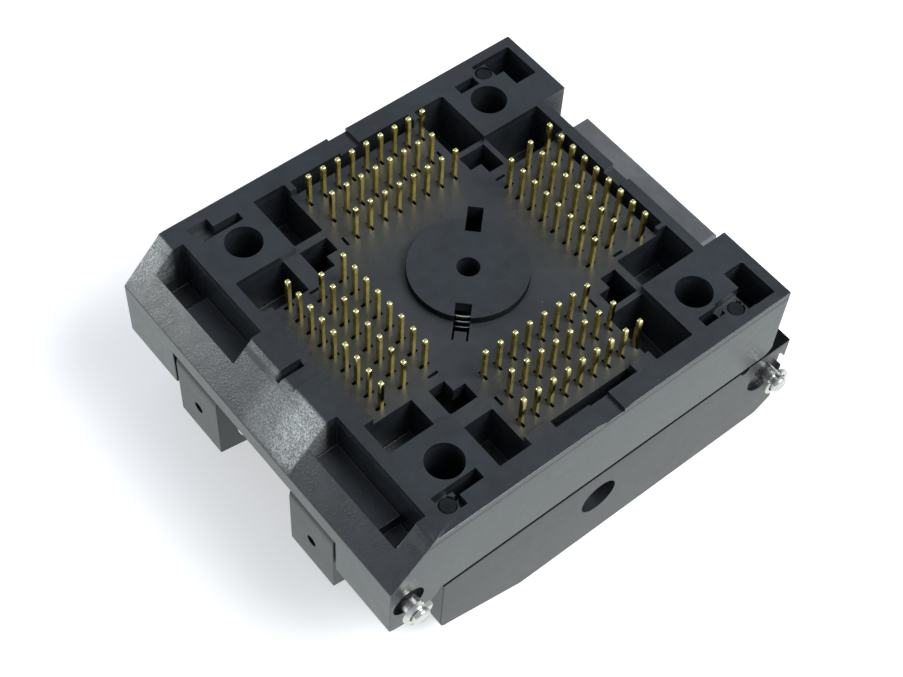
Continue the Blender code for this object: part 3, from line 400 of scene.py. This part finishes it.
class Finish:
    """A material being built: node() adds a node, and close() ends it in a shader."""

    def __init__(self, name):
        self.material = bpy.data.materials.new(name)
        self.material.use_nodes = True
        self.tree = self.material.node_tree
        self.tree.nodes.clear()
        self.place = self.node("ShaderNodeTexCoord", {}, {}, ("Object",))

    def node(self, kind, settings, inputs, outputs=(0,)):
        """Adds a node, sets its settings first and then its sockets, and returns outputs.

        Sockets go by name or by number. One output comes back as it is, others as a list.
        """
        node = self.tree.nodes.new(kind)
        for key, value in settings.items():
            setattr(node, key, value)
        for key, value in inputs.items():
            if isinstance(value, Number):
                self.tree.links.new(value.socket, node.inputs[key])
            else:
                node.inputs[key].default_value = value
        found = [Number(self, node.outputs[key]) for key in outputs]
        return found[0] if len(found) == 1 else found

    def axes(self):
        """The three Object coordinates as numbers."""
        return self.node("ShaderNodeSeparateXYZ", {}, {0: self.place}, (0, 1, 2))

    def stretched(self, scale):
        """Object coordinates times a scale along each axis: a low one draws patterns out."""
        return self.node("ShaderNodeMapping", {}, {"Vector": self.place, "Scale": scale})

    def noise(self, size, detail=2.0, roughness=0.5, vector=None):
        """Noise from about 0.3 to 0.7 with features of that size."""
        vector = vector or self.place
        inputs = {"Vector": vector, "Scale": 1 / size, "Detail": detail, "Roughness": roughness}
        return self.node("ShaderNodeTexNoise", {}, inputs)

    def cells(self, size):
        """Distance to the nearest of random points that stand about that size apart."""
        inputs = {"Vector": self.place, "Scale": 1 / size}
        return self.node("ShaderNodeTexVoronoi", {}, inputs, ("Distance",))

    def mix(self, factor, first, second):
        """Colour between the first, at factor 0, and the second, at factor 1."""
        inputs = {0: factor, 6: self._colour(first), 7: self._colour(second)}
        return self.node("ShaderNodeMix", {"data_type": "RGBA"}, inputs, (2,))

    @staticmethod
    def _colour(value):
        return value if isinstance(value, Number) else (*value, 1.0)

    def bump(self, height, distance, strength=1.0, under=None):
        """Normal of a surface whose height varies by up to the distance."""
        inputs = {"Strength": strength, "Distance": distance, "Height": height}
        if under:
            inputs["Normal"] = under
        return self.node("ShaderNodeBump", {}, inputs)

    def principled(self, base, rough, normal, constants):
        """Principled shader with a varying colour, roughness and normal."""
        inputs = {"Base Color": base, "Roughness": rough, "Normal": normal}
        return self.node("ShaderNodeBsdfPrincipled", {}, {**constants, **inputs})

    def matt(self, colour):
        """Dull shader of one colour."""
        return self.node("ShaderNodeBsdfDiffuse", {}, {"Color": (*colour, 1.0)})

    def mix_shaders(self, factor, first, second):
        """Shader between the first, at factor 0, and the second, at factor 1."""
        return self.node("ShaderNodeMixShader", {}, {0: factor, 1: first, 2: second})

    def close(self, shader):
        """Ends the material in the shader."""
        self.node("ShaderNodeOutputMaterial", {}, {"Surface": shader}, ())
        return self.material


def frosting_and_highlight(x, y, z, cloud, frost_and_highlight_patches):
    """How frosted the hinge side's slope is, with its painted highlight: soft patches with ragged borders,
    added up.
    """
    slope = y.below(SLOPE_TOP - 0.1 * MM, 0.4 * MM) * z.above(SLOPE_FOOT, 0.3 * MM)
    slope = slope * x.below(FROST_AND_HIGHLIGHT_END, 0.3 * MM)
    patches = []
    for across, along, radius, strength in frost_and_highlight_patches:
        reach = ((x - across) ** 2 + (y - along) ** 2) / radius**2 + (cloud - 0.5) * 2.4
        patches.append(reach.below(0.75, 1.5) * slope * strength)
    return sum(patches)


def moulded_plastic(name, colour, grain, shine, specular=0.55, frost_and_highlight_patches=(), shaded_seam_level=None, shaded_disc_radius=None):
    """Glass-filled moulded plastic: spark-eroded grain, faint flow marks and a little dust.

    Each patch is (x, y, radius, strength) of a place where the hinge side's slope is frosted
    by its tool: rougher and bumpier, and paler with a crackled colour that is a painted
    highlight and sparkle. The parting line's height and the raised middle's radius mark where
    painted shade is laid: along the parting line's narrow opening and on the raised middle's
    low side. The sunk floor round the contacts is duller too.
    """
    finish = Finish(name)
    x, y, z = finish.axes()

    # Patterns, from flow marks as wide as a pocket down to the tool's grain
    flow = finish.noise(6 * MM, 3.0, 0.55)
    cloud = finish.noise(1.2 * MM, 4.0, 0.6)
    fine = finish.noise(0.1 * MM, 3.0, 0.6)
    pits = finish.cells(0.2 * MM)
    patches = finish.noise(2.2 * MM).above(0.52, 0.12)
    dust = finish.cells(2.6 * MM).below(0.02, 0.014) * patches * 0.6
    sunk = z.within(FLOOR_LEVEL - 0.2 * MM, FLOOR_LEVEL + 0.2 * MM, 0.2 * MM)

    # Colour, roughness and height
    dark = [c * 0.8 for c in colour]
    light = [min(1.0, c * 1.45 + 0.004) for c in colour]
    base = finish.mix((flow * 0.6 + cloud * 0.4).above(0.5, 0.5), dark, light)
    base = finish.mix(dust, base, (0.42, 0.42, 0.41))
    rough = shine + (fine - 0.5) * 0.16 + (cloud - 0.5) * 0.14 + dust * 0.3 + sunk * 0.17
    height = fine * 0.6 + pits * (0.25 + patches * 0.3)
    if frost_and_highlight_patches:
        # Frosted patches: rougher and bumpier, and mixed towards a pale grey crackled pattern that is a
        # painted highlight and sparkle
        frost_and_highlight = frosting_and_highlight(x, y, z, cloud, frost_and_highlight_patches)
        crackle_and_sparkle = finish.noise(0.14 * MM, 4.0, 0.7).above(0.52, 0.3)
        crackle_and_sparkle = crackle_and_sparkle * (cloud.above(0.45, 0.5) * 0.7 + 0.3)
        base = finish.mix(frost_and_highlight * (crackle_and_sparkle + 0.16), base, (0.66, 0.68, 0.65))
        rough = rough + frost_and_highlight * 0.15
        height = height + frost_and_highlight * crackle_and_sparkle * 0.8
    normal = finish.bump(cloud, 0.006 * MM, 0.6, finish.bump(height, grain))
    shader = finish.principled(base, rough, normal, {"IOR": 1.6, "Specular IOR Level": specular})

    # Painted shade: narrow bands mixed towards a nearly black matt shader where shade falls
    shade_black = (0.003, 0.003, 0.003)
    line = 0.05 * MM
    step = 0.03 * MM
    # Painted shade on the raised middle's low side
    if shaded_disc_radius:
        reach = (x**2 + y**2) ** 0.5
        wall_shade = reach.within(shaded_disc_radius - line, shaded_disc_radius + line, step) * z.below(SEAT_LEVEL - 0.04 * MM, step)
        shader = finish.mix_shaders(wall_shade * 0.75, shader, finish.matt(shade_black))
    # Painted shade along the parting line's narrow opening
    if shaded_seam_level:
        gap_shade = z.within(shaded_seam_level - line, shaded_seam_level + line, step) * y.above(-17 * MM, 0.1 * MM)
        shader = finish.mix_shaders(gap_shade * 0.9, shader, finish.matt(shade_black))
    return finish.close(shader)


def gold_plate(colour):
    """Gold over nickel on a drawn strip: fine lengthwise lines, and a painted highlight that makes the tip
    paler.
    """
    finish = Finish("gold_plate")
    _, _, height = finish.axes()
    lines = finish.noise(0.05 * MM, 2.0, 0.5, finish.stretched((1, 1, 0.06)))
    patch = finish.noise(0.7 * MM, 3.0)
    # Painted highlight: the tips' flat tops are mixed towards a pale gold
    tip = height.above(TIP_LEVEL - 0.35 * MM, 0.3 * MM)
    deep = [c * k for c, k in zip(colour, (0.72, 0.66, 0.5))]
    base = finish.mix(patch.above(0.5, 0.4), deep, colour)
    base = finish.mix(tip * 0.7, base, (0.98, 0.92, 0.42))
    rough = 0.2 + (lines - 0.5) * 0.3 + (patch - 0.5) * 0.2
    normal = finish.bump(lines, 0.01 * MM, 0.4)
    return finish.close(finish.principled(base, rough, normal, {"Metallic": 1.0}))


def steel(name, colour, shine, lines_along, spots):
    """Bright steel with fine turning or drawing lines along one axis and a few dull spots."""
    finish = Finish(name)
    scale = [0.05 if axis == lines_along else 1.0 for axis in "xyz"]
    lines = finish.noise(0.06 * MM, 3.0, 0.6, finish.stretched(scale))
    stain = finish.noise(0.5 * MM, 4.0, 0.6).above(0.62, 0.2)
    base = finish.mix(stain * spots, colour, [c * 0.45 for c in colour])
    rough = shine + (lines - 0.5) * 0.3 + stain * 0.2
    normal = finish.bump(lines, 0.012 * MM, 0.5)
    return finish.close(finish.principled(base, rough, normal, {"Metallic": 1.0}))


def bright_floor(colour):
    """Pale floor that keeps soft shadows and reads as white away from the object.

    A share of plain glow lies over the matt floor for rays from the camera, and a larger
    one for rays from the socket's gloss.
    """
    finish = Finish("pale_floor")
    kinds = ("Is Camera Ray", "Is Transmission Ray", "Is Glossy Ray")
    direct, through, mirrored = finish.node("ShaderNodeLightPath", {}, {}, kinds)
    seen = direct + through
    tint = finish.mix(mirrored, (1, 1, 1), (0.93, 1.0, 0.98))
    strength = seen * 2.7 + mirrored * 1.14
    glow = finish.node("ShaderNodeEmission", {}, {"Color": tint, "Strength": strength})
    share = seen * 0.165 + mirrored * 0.7
    return finish.close(finish.mix_shaders(share, finish.matt(colour), glow))


# Sizes and colours


class SocketSizes(bpy.types.PropertyGroup):
    """Sizes that the dressed pieces use."""

    edge_round: FloatProperty(
        name="Edge round", description="Radius of the moulded edges",
        default=0.09 * MM, min=0, unit="LENGTH",
    )
    pin_width: FloatProperty(
        name="Pin width", description="Width of a contact tail along its bank",
        default=0.42 * MM, min=0, unit="LENGTH",
    )
    pin_depth: FloatProperty(
        name="Pin depth", description="Depth of a contact tail across its bank",
        default=0.40 * MM, min=0, unit="LENGTH",
    )
    pin_pitch: FloatProperty(
        name="Pin pitch", description="Distance between the tails of one row",
        default=1.5 * MM, min=0, unit="LENGTH",
    )
    pin_tip: FloatProperty(
        name="Pin tip", description="Chamfer at the end of a tail",
        default=0.1 * MM, min=0, unit="LENGTH",
    )
    shaft_radius: FloatProperty(
        name="Shaft radius", description="Radius of the hinge shaft and the latch shaft",
        default=0.8 * MM, min=0, unit="LENGTH",
    )
    ring_radius: FloatProperty(
        name="Ring radius", description="Outer radius of the retaining rings",
        default=1.35 * MM, min=0, unit="LENGTH",
    )
    wire_sides: IntProperty(
        name="Wire sides", description="Facets round a spring's wire",
        default=14, min=6, max=32,
    )


class SocketColours(bpy.types.PropertyGroup):
    """Colours of the finishes."""

    housing: FloatVectorProperty(
        name="Housing", description="Plastic of the base",
        default=(0.011, 0.0135, 0.017), min=0, max=1, subtype="COLOR",
    )
    cover: FloatVectorProperty(
        name="Lid", description="Plastic of the lid",
        default=(0.012, 0.013, 0.016), min=0, max=1, subtype="COLOR",
    )
    inner: FloatVectorProperty(
        name="Inner plates", description="Plastic of the guide, the stage and the pad",
        default=(0.009, 0.010, 0.012), min=0, max=1, subtype="COLOR",
    )
    latch: FloatVectorProperty(
        name="Latch", description="Plastic of the latch",
        default=(0.075, 0.078, 0.082), min=0, max=1, subtype="COLOR",
    )
    gold: FloatVectorProperty(
        name="Gold", description="Plating of the contacts",
        default=(0.80, 0.66, 0.22), min=0, max=1, subtype="COLOR",
    )
    steel: FloatVectorProperty(
        name="Steel", description="Shafts, rings and screws",
        default=(0.70, 0.69, 0.65), min=0, max=1, subtype="COLOR",
    )
    spring: FloatVectorProperty(
        name="Spring wire", description="Wire of the springs",
        default=(0.70, 0.69, 0.66), min=0, max=1, subtype="COLOR",
    )
    floor: FloatVectorProperty(
        name="Floor", description="Pale floor under the socket",
        default=(0.92, 0.92, 0.92), min=0, max=1, subtype="COLOR",
    )


# Pieces


def pin_places(pitch):
    """Centres of all contact tails: each row of one bank, turned four times about the middle."""
    rows = []
    for radius, first, count in PIN_ROWS:
        along = first * MM + pitch * np.arange(count)
        rows.append(np.stack((along, np.full(count, radius * MM)), 1))
    bank = np.concatenate(rows)
    quarter_turns = [((c, s), (-s, c)) for c, s in ((1, 0), (0, 1), (-1, 0), (0, -1))]
    return np.concatenate([bank @ np.array(turn) for turn in quarter_turns])


def contact_pins(sizes):
    """Points and faces of the tails.

    A tail is a rectangle with cut corners carried up along Z: point (i, j) of tail k is its
    centre plus the rectangle's point j, turned with its bank and times ring i's share of
    the full width, at ring i's height.
    """
    centres = pin_places(sizes.pin_pitch)
    corner_cut = 0.05 * MM
    signs = np.repeat(((-1, -1), (1, -1), (1, 1), (-1, 1)), 2, axis=0)
    cuts = np.tile(((0, 1), (1, 0), (1, 0), (0, 1)), (2, 1)) * corner_cut
    section = signs * (np.array((sizes.pin_width / 2, sizes.pin_depth / 2)) - cuts)
    below_tip = np.array((1.2, 0.4, 0.0)) * sizes.pin_tip
    heights = np.append(FLOOR_LEVEL - 0.3 * MM, TIP_LEVEL - below_tip)
    shares = np.array((1.0, 1.0, 0.82, 0.5))

    turn = np.repeat(np.radians((0.0, 90.0, 180.0, 270.0)), len(centres) // 4)
    cos, sin = np.cos(turn)[:, None], np.sin(turn)[:, None]
    x = section[:, 0] * cos - section[:, 1] * sin
    y = section[:, 0] * sin + section[:, 1] * cos
    rings = np.stack((x, y), -1)[:, None] * shares[:, None, None]
    level = np.broadcast_to(heights[:, None, None], (*rings.shape[:3], 1))
    points = np.concatenate((rings + centres[:, None, None], level), -1)

    sides = len(section)
    each = len(heights) * sides
    starts = np.arange(len(centres))[:, None] * each
    walls = (wall_faces(len(heights), sides) + starts[:, None]).reshape(-1, 4)
    tops = np.arange(each - sides, each) + starts
    feet = np.arange(sides)[::-1] + starts
    return points.reshape(-1, 3), walls.tolist() + tops.tolist() + feet.tolist()


def is_tail(centres, pitch):
    """True for the points above the sunk floor that stand in a contact tail."""
    half_width = 0.24 * MM
    offset = np.abs(centres[:, None, :2] - pin_places(pitch)).max(2)
    return (offset.min(1) < half_width) & (centres[:, 2] > FLOOR_LEVEL - 0.02 * MM)


def is_finger(centres):
    """True for the points on the contacts' spring fingers, inside the base."""
    reach = np.abs(centres[:, :2]).max(1)
    height = centres[:, 2]
    beside = (reach > FINGER_REACH[0]) & (reach < FINGER_REACH[1])
    return beside & (height > FINGER_HEIGHT[0]) & (height < FINGER_HEIGHT[1])


def ring_points(axis, side, mouth, radius):
    """Points and faces of a stamped retaining ring with rounded edges.

    Point (i, j) takes outline point j, drawn in by ring i's inset from the middle line of
    the stamping, at ring i's place along the shaft. The outline is the rim, and then three
    tongues that grip the shaft with a hollow between each two, as arcs given by their
    radius, first and last angle from the mouth's, and number of points.
    """
    grip = 0.66 * MM
    middle = (grip + radius) / 2
    arcs = (
        (radius, 35, 325, 40),
        (grip, 325, 300, 3),
        (middle, 290, 210, 12),
        (grip, 200, 160, 6),
        (middle, 150, 70, 12),
        (grip, 60, 35, 3),
    )
    angle = np.radians(np.concatenate([np.linspace(a, b, n) for _, a, b, n in arcs]) + mouth)
    reach = np.concatenate([np.full(n, r) for r, _, _, n in arcs])
    outer = SHAFT_END - 0.48 * MM
    thickness, edge = 0.4 * MM, 0.05 * MM
    places = np.array((outer - thickness, outer - thickness + edge, outer - edge, outer))
    inset = np.array((edge, 0, 0, edge))
    drawn = reach - np.where(reach < middle, -1, 1) * inset[:, None]
    along = np.broadcast_to(side * places[:, None], drawn.shape)
    points = np.stack((along, axis[0] + drawn * np.cos(angle), axis[1] + drawn * np.sin(angle)), -1)
    return points.reshape(-1, 3), capped_faces(len(places), len(angle))


def grooved_end(end, radius):
    """Profile of a shaft's end, as (place, radius): a ring's groove, then a rounded tip."""
    groove = 0.6 * MM
    return [
        (end - 0.91 * MM, radius),
        (end - 0.9 * MM, groove),
        (end - 0.45 * MM, groove),
        (end - 0.44 * MM, radius),
        (end - 0.16 * MM, radius),
        (end - 0.1 * MM, radius - 0.03 * MM),
        (end - 0.03 * MM, radius - 0.1 * MM),
        (end, radius - 0.16 * MM),
    ]


def flush_end(end, radius):
    """Profile of a shaft's plain end on the other side, as (place, radius)."""
    return [
        (-end, radius - 0.16 * MM),
        (-end + 0.03 * MM, radius - 0.1 * MM),
        (-end + 0.16 * MM, radius),
    ]


def windings():
    """Name, body, node, path, wire radius and axis of each spring."""
    coil, wire = 3.85 * MM, 0.15 * MM
    bottom, top = 15.45 * MM, 17.75 * MM
    path = helix("z", (0, 0), (bottom, top), coil, -10, -10 + 3 * 360, 72)
    yield "stage_coil", "base_body", "stage_spring", path, wire, (0, 0, 1)

    _, height = HINGE_AXIS
    coil, wire = 1.2 * MM, 0.25 * MM
    left, right = -3 * MM, 3 * MM
    path = helix("x", HINGE_AXIS, (left, right), coil, 0, 4.75 * 360)
    in_lid = (left, -17.2 * MM, 6.5 * MM)
    in_base = (right, -16.55 * MM, height - coil)
    yield "hinge_coil", "lid_body", "hinge_spring", with_legs(path, in_lid, in_base), wire, (1, 0, 0)

    _, height = LATCH_AXIS
    coil, wire = 1.15 * MM, 0.18 * MM
    left, right = 2.9 * MM, 5.1 * MM
    path = helix("x", LATCH_AXIS, (left, right), coil, 180, 180 - 3 * 360)
    on_lever = (left, 18.92 * MM, height - 4 * MM)
    in_lid = (right, 17.68 * MM, height + 2.4 * MM)
    yield "latch_coil", "lid_body", "latch_spring", with_legs(path, on_lever, in_lid), wire, (1, 0, 0)

    coil, wire = 1.3 * MM, 0.18 * MM
    bottom, top = 2.68 * MM, 6.32 * MM
    places = product((-10.6 * MM, 10.6 * MM), (-4.5 * MM, 4.5 * MM))
    for number, place in enumerate(places, 1):
        path = helix("z", place, (bottom, top), coil, 0, 3.5 * 360)
        yield f"pad_coil_{number}", "lid_body", f"pad_spring_{number}", path, wire, (0, 0, 1)


class PieceOperator:
    """What the operators share."""

    bl_options = {"REGISTER", "UNDO"}

    @staticmethod
    def settings():
        """The sizes and the colours of the panel."""
        scene = bpy.context.scene
        return scene.socket_sizes, scene.socket_colours


class SOCKET_OT_base(PieceOperator, bpy.types.Operator):
    """Base housing: the solid with rounded edges, and the contacts' spring fingers in it"""

    bl_idname = "socket.base"
    bl_label = "Base housing"

    def execute(self, context):
        sizes, colours = self.settings()
        boxes = []
        for (left, right), (near, far), depth in RECESSES:
            low = (left * MM, near * MM, SEAT_LEVEL - depth * MM)
            boxes.append((low, (right * MM, far * MM, SEAT_LEVEL + MM)))
        points, triangles = cut_boxes(*solid_arrays("base_housing"), boxes)
        centres = points[triangles].mean(1)
        fingers = is_finger(centres)
        plastic_part = ~(is_tail(centres, sizes.pin_pitch) | fingers)
        housing = merged_copy("housing", points, triangles[plastic_part])
        round_edges(housing, sizes.edge_round, self.rounding)
        frost_and_highlight_patches = [(x * MM, y * MM, radius * MM, strength) for x, y, radius, strength in FROST_AND_HIGHLIGHT_PATCHES]
        plastic = moulded_plastic(
            "housing_plastic", colours.housing, grain=0.014 * MM, shine=0.3, frost_and_highlight_patches=frost_and_highlight_patches, shaded_disc_radius=DISC_RADIUS
        )
        dress(housing, "base_body", "housing", plastic, "base_housing")
        metal = mesh_from("contact_fingers", points, triangles[fingers].tolist())
        dress(metal, "base_body", "contact", gold_plate(colours.gold))
        return {"FINISHED"}

    @staticmethod
    def rounding(middle):
        """All of it low down and on the slope, none at the seating side's pockets."""
        if middle.z < FLOOR_LEVEL - 1.3 * MM or middle.y < SLOPE_TOP + 0.1 * MM:
            return 1.0
        return 0.0 if abs(middle.x) < SIDE_RIM and middle.y < FAR_RIM else 0.8


class SOCKET_OT_contacts(PieceOperator, bpy.types.Operator):
    """Contact tails: a hundred gold-plated square pins with chamfered tips"""

    bl_idname = "socket.contacts"
    bl_label = "Contact tails"

    def execute(self, context):
        sizes, colours = self.settings()
        pins = outward(mesh_from("contact_tails", *contact_pins(sizes)))
        dress(pins, "base_body", "contact", gold_plate(colours.gold))
        return {"FINISHED"}


class SOCKET_OT_lid(PieceOperator, bpy.types.Operator):
    """Lid: the solid with rounded edges, and painted shade along the parting line's narrow opening"""

    bl_idname = "socket.lid"
    bl_label = "Lid"

    def execute(self, context):
        sizes, colours = self.settings()
        cover = round_edges(merged_copy("cover", *solid_arrays("lid")), sizes.edge_round)
        plastic = moulded_plastic(
            "lid_plastic", colours.cover, grain=0.015 * MM, shine=0.34, specular=0.34, shaded_seam_level=PARTING_LEVEL
        )
        dress(cover, "lid_body", "cover", plastic, "lid")
        return {"FINISHED"}


class SOCKET_OT_latch(PieceOperator, bpy.types.Operator):
    """Latch: grey moulded lever with rounded edges"""

    bl_idname = "socket.latch"
    bl_label = "Latch"

    def execute(self, context):
        sizes, colours = self.settings()
        lever = round_edges(merged_copy("latch", *solid_arrays("latch_lever")), sizes.edge_round)
        plastic = moulded_plastic("latch_plastic", colours.latch, grain=0.02 * MM, shine=0.4)
        dress(lever, "latch_body", "latch", plastic, "latch_lever")
        return {"FINISHED"}


class SOCKET_OT_inner_plates(PieceOperator, bpy.types.Operator):
    """Inner plates: contact guide, package stage and pressure pad, with rounded edges"""

    bl_idname = "socket.inner_plates"
    bl_label = "Inner plates"

    def execute(self, context):
        sizes, colours = self.settings()
        plastic = moulded_plastic(
            "inner_plastic", colours.inner, grain=0.012 * MM, shine=0.55, specular=0.05
        )
        plates = (
            ("contact_guide", "base_body"),
            ("package_stage", "stage_body"),
            ("pressure_pad", "pad_body"),
        )
        for node, body in plates:
            plate = merged_copy(f"{node}_moulding", *solid_arrays(node))
            round_edges(plate, sizes.edge_round / 2)
            dress(plate, body, "inner", plastic, node)
        return {"FINISHED"}


class SOCKET_OT_shafts(PieceOperator, bpy.types.Operator):
    """Shafts and retaining rings: turned pins with grooved ends, and stamped rings"""

    bl_idname = "socket.shafts"
    bl_label = "Shafts and rings"

    def execute(self, context):
        sizes, colours = self.settings()
        metal = steel("shaft_steel", colours.steel, shine=0.24, lines_along="y", spots=0.5)
        right = grooved_end(SHAFT_END, sizes.shaft_radius)
        grooved = [(-place, radius) for place, radius in right[::-1]]
        flush = flush_end(FLUSH_END, sizes.shaft_radius)
        for name, axis, left in (("hinge", HINGE_AXIS, flush), ("latch", LATCH_AXIS, grooved)):
            points, faces = turned(left + right, SHAFT_SIDES)
            pin = outward(mesh_from(f"{name}_pin", points + (0, *axis), faces))
            dress(pin, "lid_body", "steel", metal, f"{name}_shaft")
        stamped = steel("ring_steel", colours.steel, shine=0.3, lines_along="x", spots=0.4)
        rings = (
            ("hinge_clip", HINGE_AXIS, 1, 40, "hinge_ring"),
            ("latch_clip_left", LATCH_AXIS, -1, 110, "latch_ring_left"),
            ("latch_clip_right", LATCH_AXIS, 1, 110, "latch_ring_right"),
        )
        for name, axis, side, mouth, node in rings:
            ring = outward(mesh_from(name, *ring_points(axis, side, mouth, sizes.ring_radius)))
            dress(ring, "lid_body", "steel", stamped, node)
        return {"FINISHED"}


class SOCKET_OT_screws(PieceOperator, bpy.types.Operator):
    """Pad screws: the solids with a bright turned finish"""

    bl_idname = "socket.screws"
    bl_label = "Pad screws"

    def execute(self, context):
        _, colours = self.settings()
        metal = steel("screw_steel", colours.steel, shine=0.28, lines_along="z", spots=0.4)
        for number in range(1, 5):
            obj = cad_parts[f"pad_screw_{number}"]
            obj.data.materials.clear()
            obj.data.materials.append(metal)
        return {"FINISHED"}


class SOCKET_OT_springs(PieceOperator, bpy.types.Operator):
    """Springs: round wire wound into helices, with the torsion springs' legs"""

    bl_idname = "socket.springs"
    bl_label = "Springs"

    def execute(self, context):
        sizes, colours = self.settings()
        wire = steel("spring_wire", colours.spring, shine=0.22, lines_along="z", spots=0.3)
        for name, body, node, path, radius, axis in windings():
            spring = outward(mesh_from(name, *swept(path, radius, axis, sizes.wire_sides)))
            dress(spring, body, "spring", wire, node)
        return {"FINISHED"}


# Stage


def area_lamp(name, place, side, power, colour):
    """A soft square lamp that faces the socket."""
    data = bpy.data.lights.new(name, "AREA")
    data.shape = "RECTANGLE"
    data.size = side
    data.size_y = side
    data.energy = power
    data.color = colour
    lamp = bpy.data.objects.new(name, data)
    lamp.location = place
    lamp.rotation_euler = (Vector(LAMP_AIM) - Vector(place)).to_track_quat("-Z", "Y").to_euler()
    bpy.context.scene.collection.objects.link(lamp)
    return lamp


def photograph_camera():
    """A camera with the photograph's angles, roll, place and focal length."""
    azimuth, elevation, roll = (math.radians(a) for a in (VIEW_AZIMUTH, VIEW_ELEVATION, VIEW_ROLL))
    flat = math.cos(elevation)
    back = Vector((math.sin(azimuth) * flat, -math.cos(azimuth) * flat, math.sin(elevation)))
    right = Vector((math.cos(azimuth), math.sin(azimuth), 0))
    up = back.cross(right)
    rolled_right = right * math.cos(roll) + up * math.sin(roll)
    rolled_up = up * math.cos(roll) - right * math.sin(roll)
    data = bpy.data.cameras.new("view")
    data.sensor_fit = "HORIZONTAL"
    data.sensor_width = SENSOR_WIDTH
    data.lens = SENSOR_WIDTH * FOCAL_PIXELS / PICTURE_PIXELS
    data.clip_start = 5 * MM
    camera = bpy.data.objects.new("view", data)
    axes = Matrix((rolled_right, rolled_up, back)).transposed().to_4x4()
    camera.matrix_world = Matrix.Translation(Vector(VIEW_PLACE) * MM) @ axes
    bpy.context.scene.collection.objects.link(camera)
    return camera


class SOCKET_OT_stage(PieceOperator, bpy.types.Operator):
    """Stage: pale floor, white surroundings, soft lamps and the camera"""

    bl_idname = "socket.stage"
    bl_label = "Stage"

    def execute(self, context):
        _, colours = self.settings()
        corners = np.array(((-1, -1, 0), (1, -1, 0), (1, 1, 0), (-1, 1, 0))) * FLOOR_REACH
        floor = mesh_from("floor", corners, [(0, 1, 2, 3)])
        floor.data.materials.append(bright_floor(colours.floor))

        world = bpy.data.worlds.new("studio")
        world.use_nodes = True
        background = world.node_tree.nodes["Background"]
        background.inputs["Color"].default_value = WORLD_COLOUR
        background.inputs["Strength"].default_value = WORLD_STRENGTH
        for name, (place, side, power, colour) in LAMPS.items():
            area_lamp(name, place, side, power, colour)

        scene = bpy.context.scene
        scene.world = world
        scene.camera = photograph_camera()
        scene.view_settings.view_transform = "Standard"
        return {"FINISHED"}


class SOCKET_PT_panel(bpy.types.Panel):
    """Sizes, colours and pieces of the test socket"""

    bl_label = "Test Socket"
    bl_idname = "SOCKET_PT_panel"
    bl_space_type = "VIEW_3D"
    bl_region_type = "UI"
    bl_category = "Test Socket"

    def draw(self, context):
        layout = self.layout
        groups = {"Sizes": context.scene.socket_sizes, "Colours": context.scene.socket_colours}
        for title, group in groups.items():
            box = layout.box()
            box.label(text=title)
            for key in group.__annotations__:
                box.prop(group, key)
        for operator in OPERATORS:
            layout.operator(operator.bl_idname)


OPERATORS = (
    SOCKET_OT_base,
    SOCKET_OT_contacts,
    SOCKET_OT_lid,
    SOCKET_OT_latch,
    SOCKET_OT_inner_plates,
    SOCKET_OT_shafts,
    SOCKET_OT_screws,
    SOCKET_OT_springs,
    SOCKET_OT_stage,
)
CLASSES = (SocketSizes, SocketColours, *OPERATORS, SOCKET_PT_panel)


def register():
    for item in CLASSES:
        bpy.utils.register_class(item)
    bpy.types.Scene.socket_sizes = PointerProperty(type=SocketSizes)
    bpy.types.Scene.socket_colours = PointerProperty(type=SocketColours)


def unregister():
    del bpy.types.Scene.socket_colours
    del bpy.types.Scene.socket_sizes
    for item in reversed(CLASSES):
        bpy.utils.unregister_class(item)


def main():
    """Dresses the whole socket."""
    register()
    bpy.ops.socket.base()
    bpy.ops.socket.contacts()
    bpy.ops.socket.lid()
    bpy.ops.socket.latch()
    bpy.ops.socket.inner_plates()
    bpy.ops.socket.shafts()
    bpy.ops.socket.screws()
    bpy.ops.socket.springs()
    bpy.ops.socket.stage()


if __name__ == "__main__":
    main()
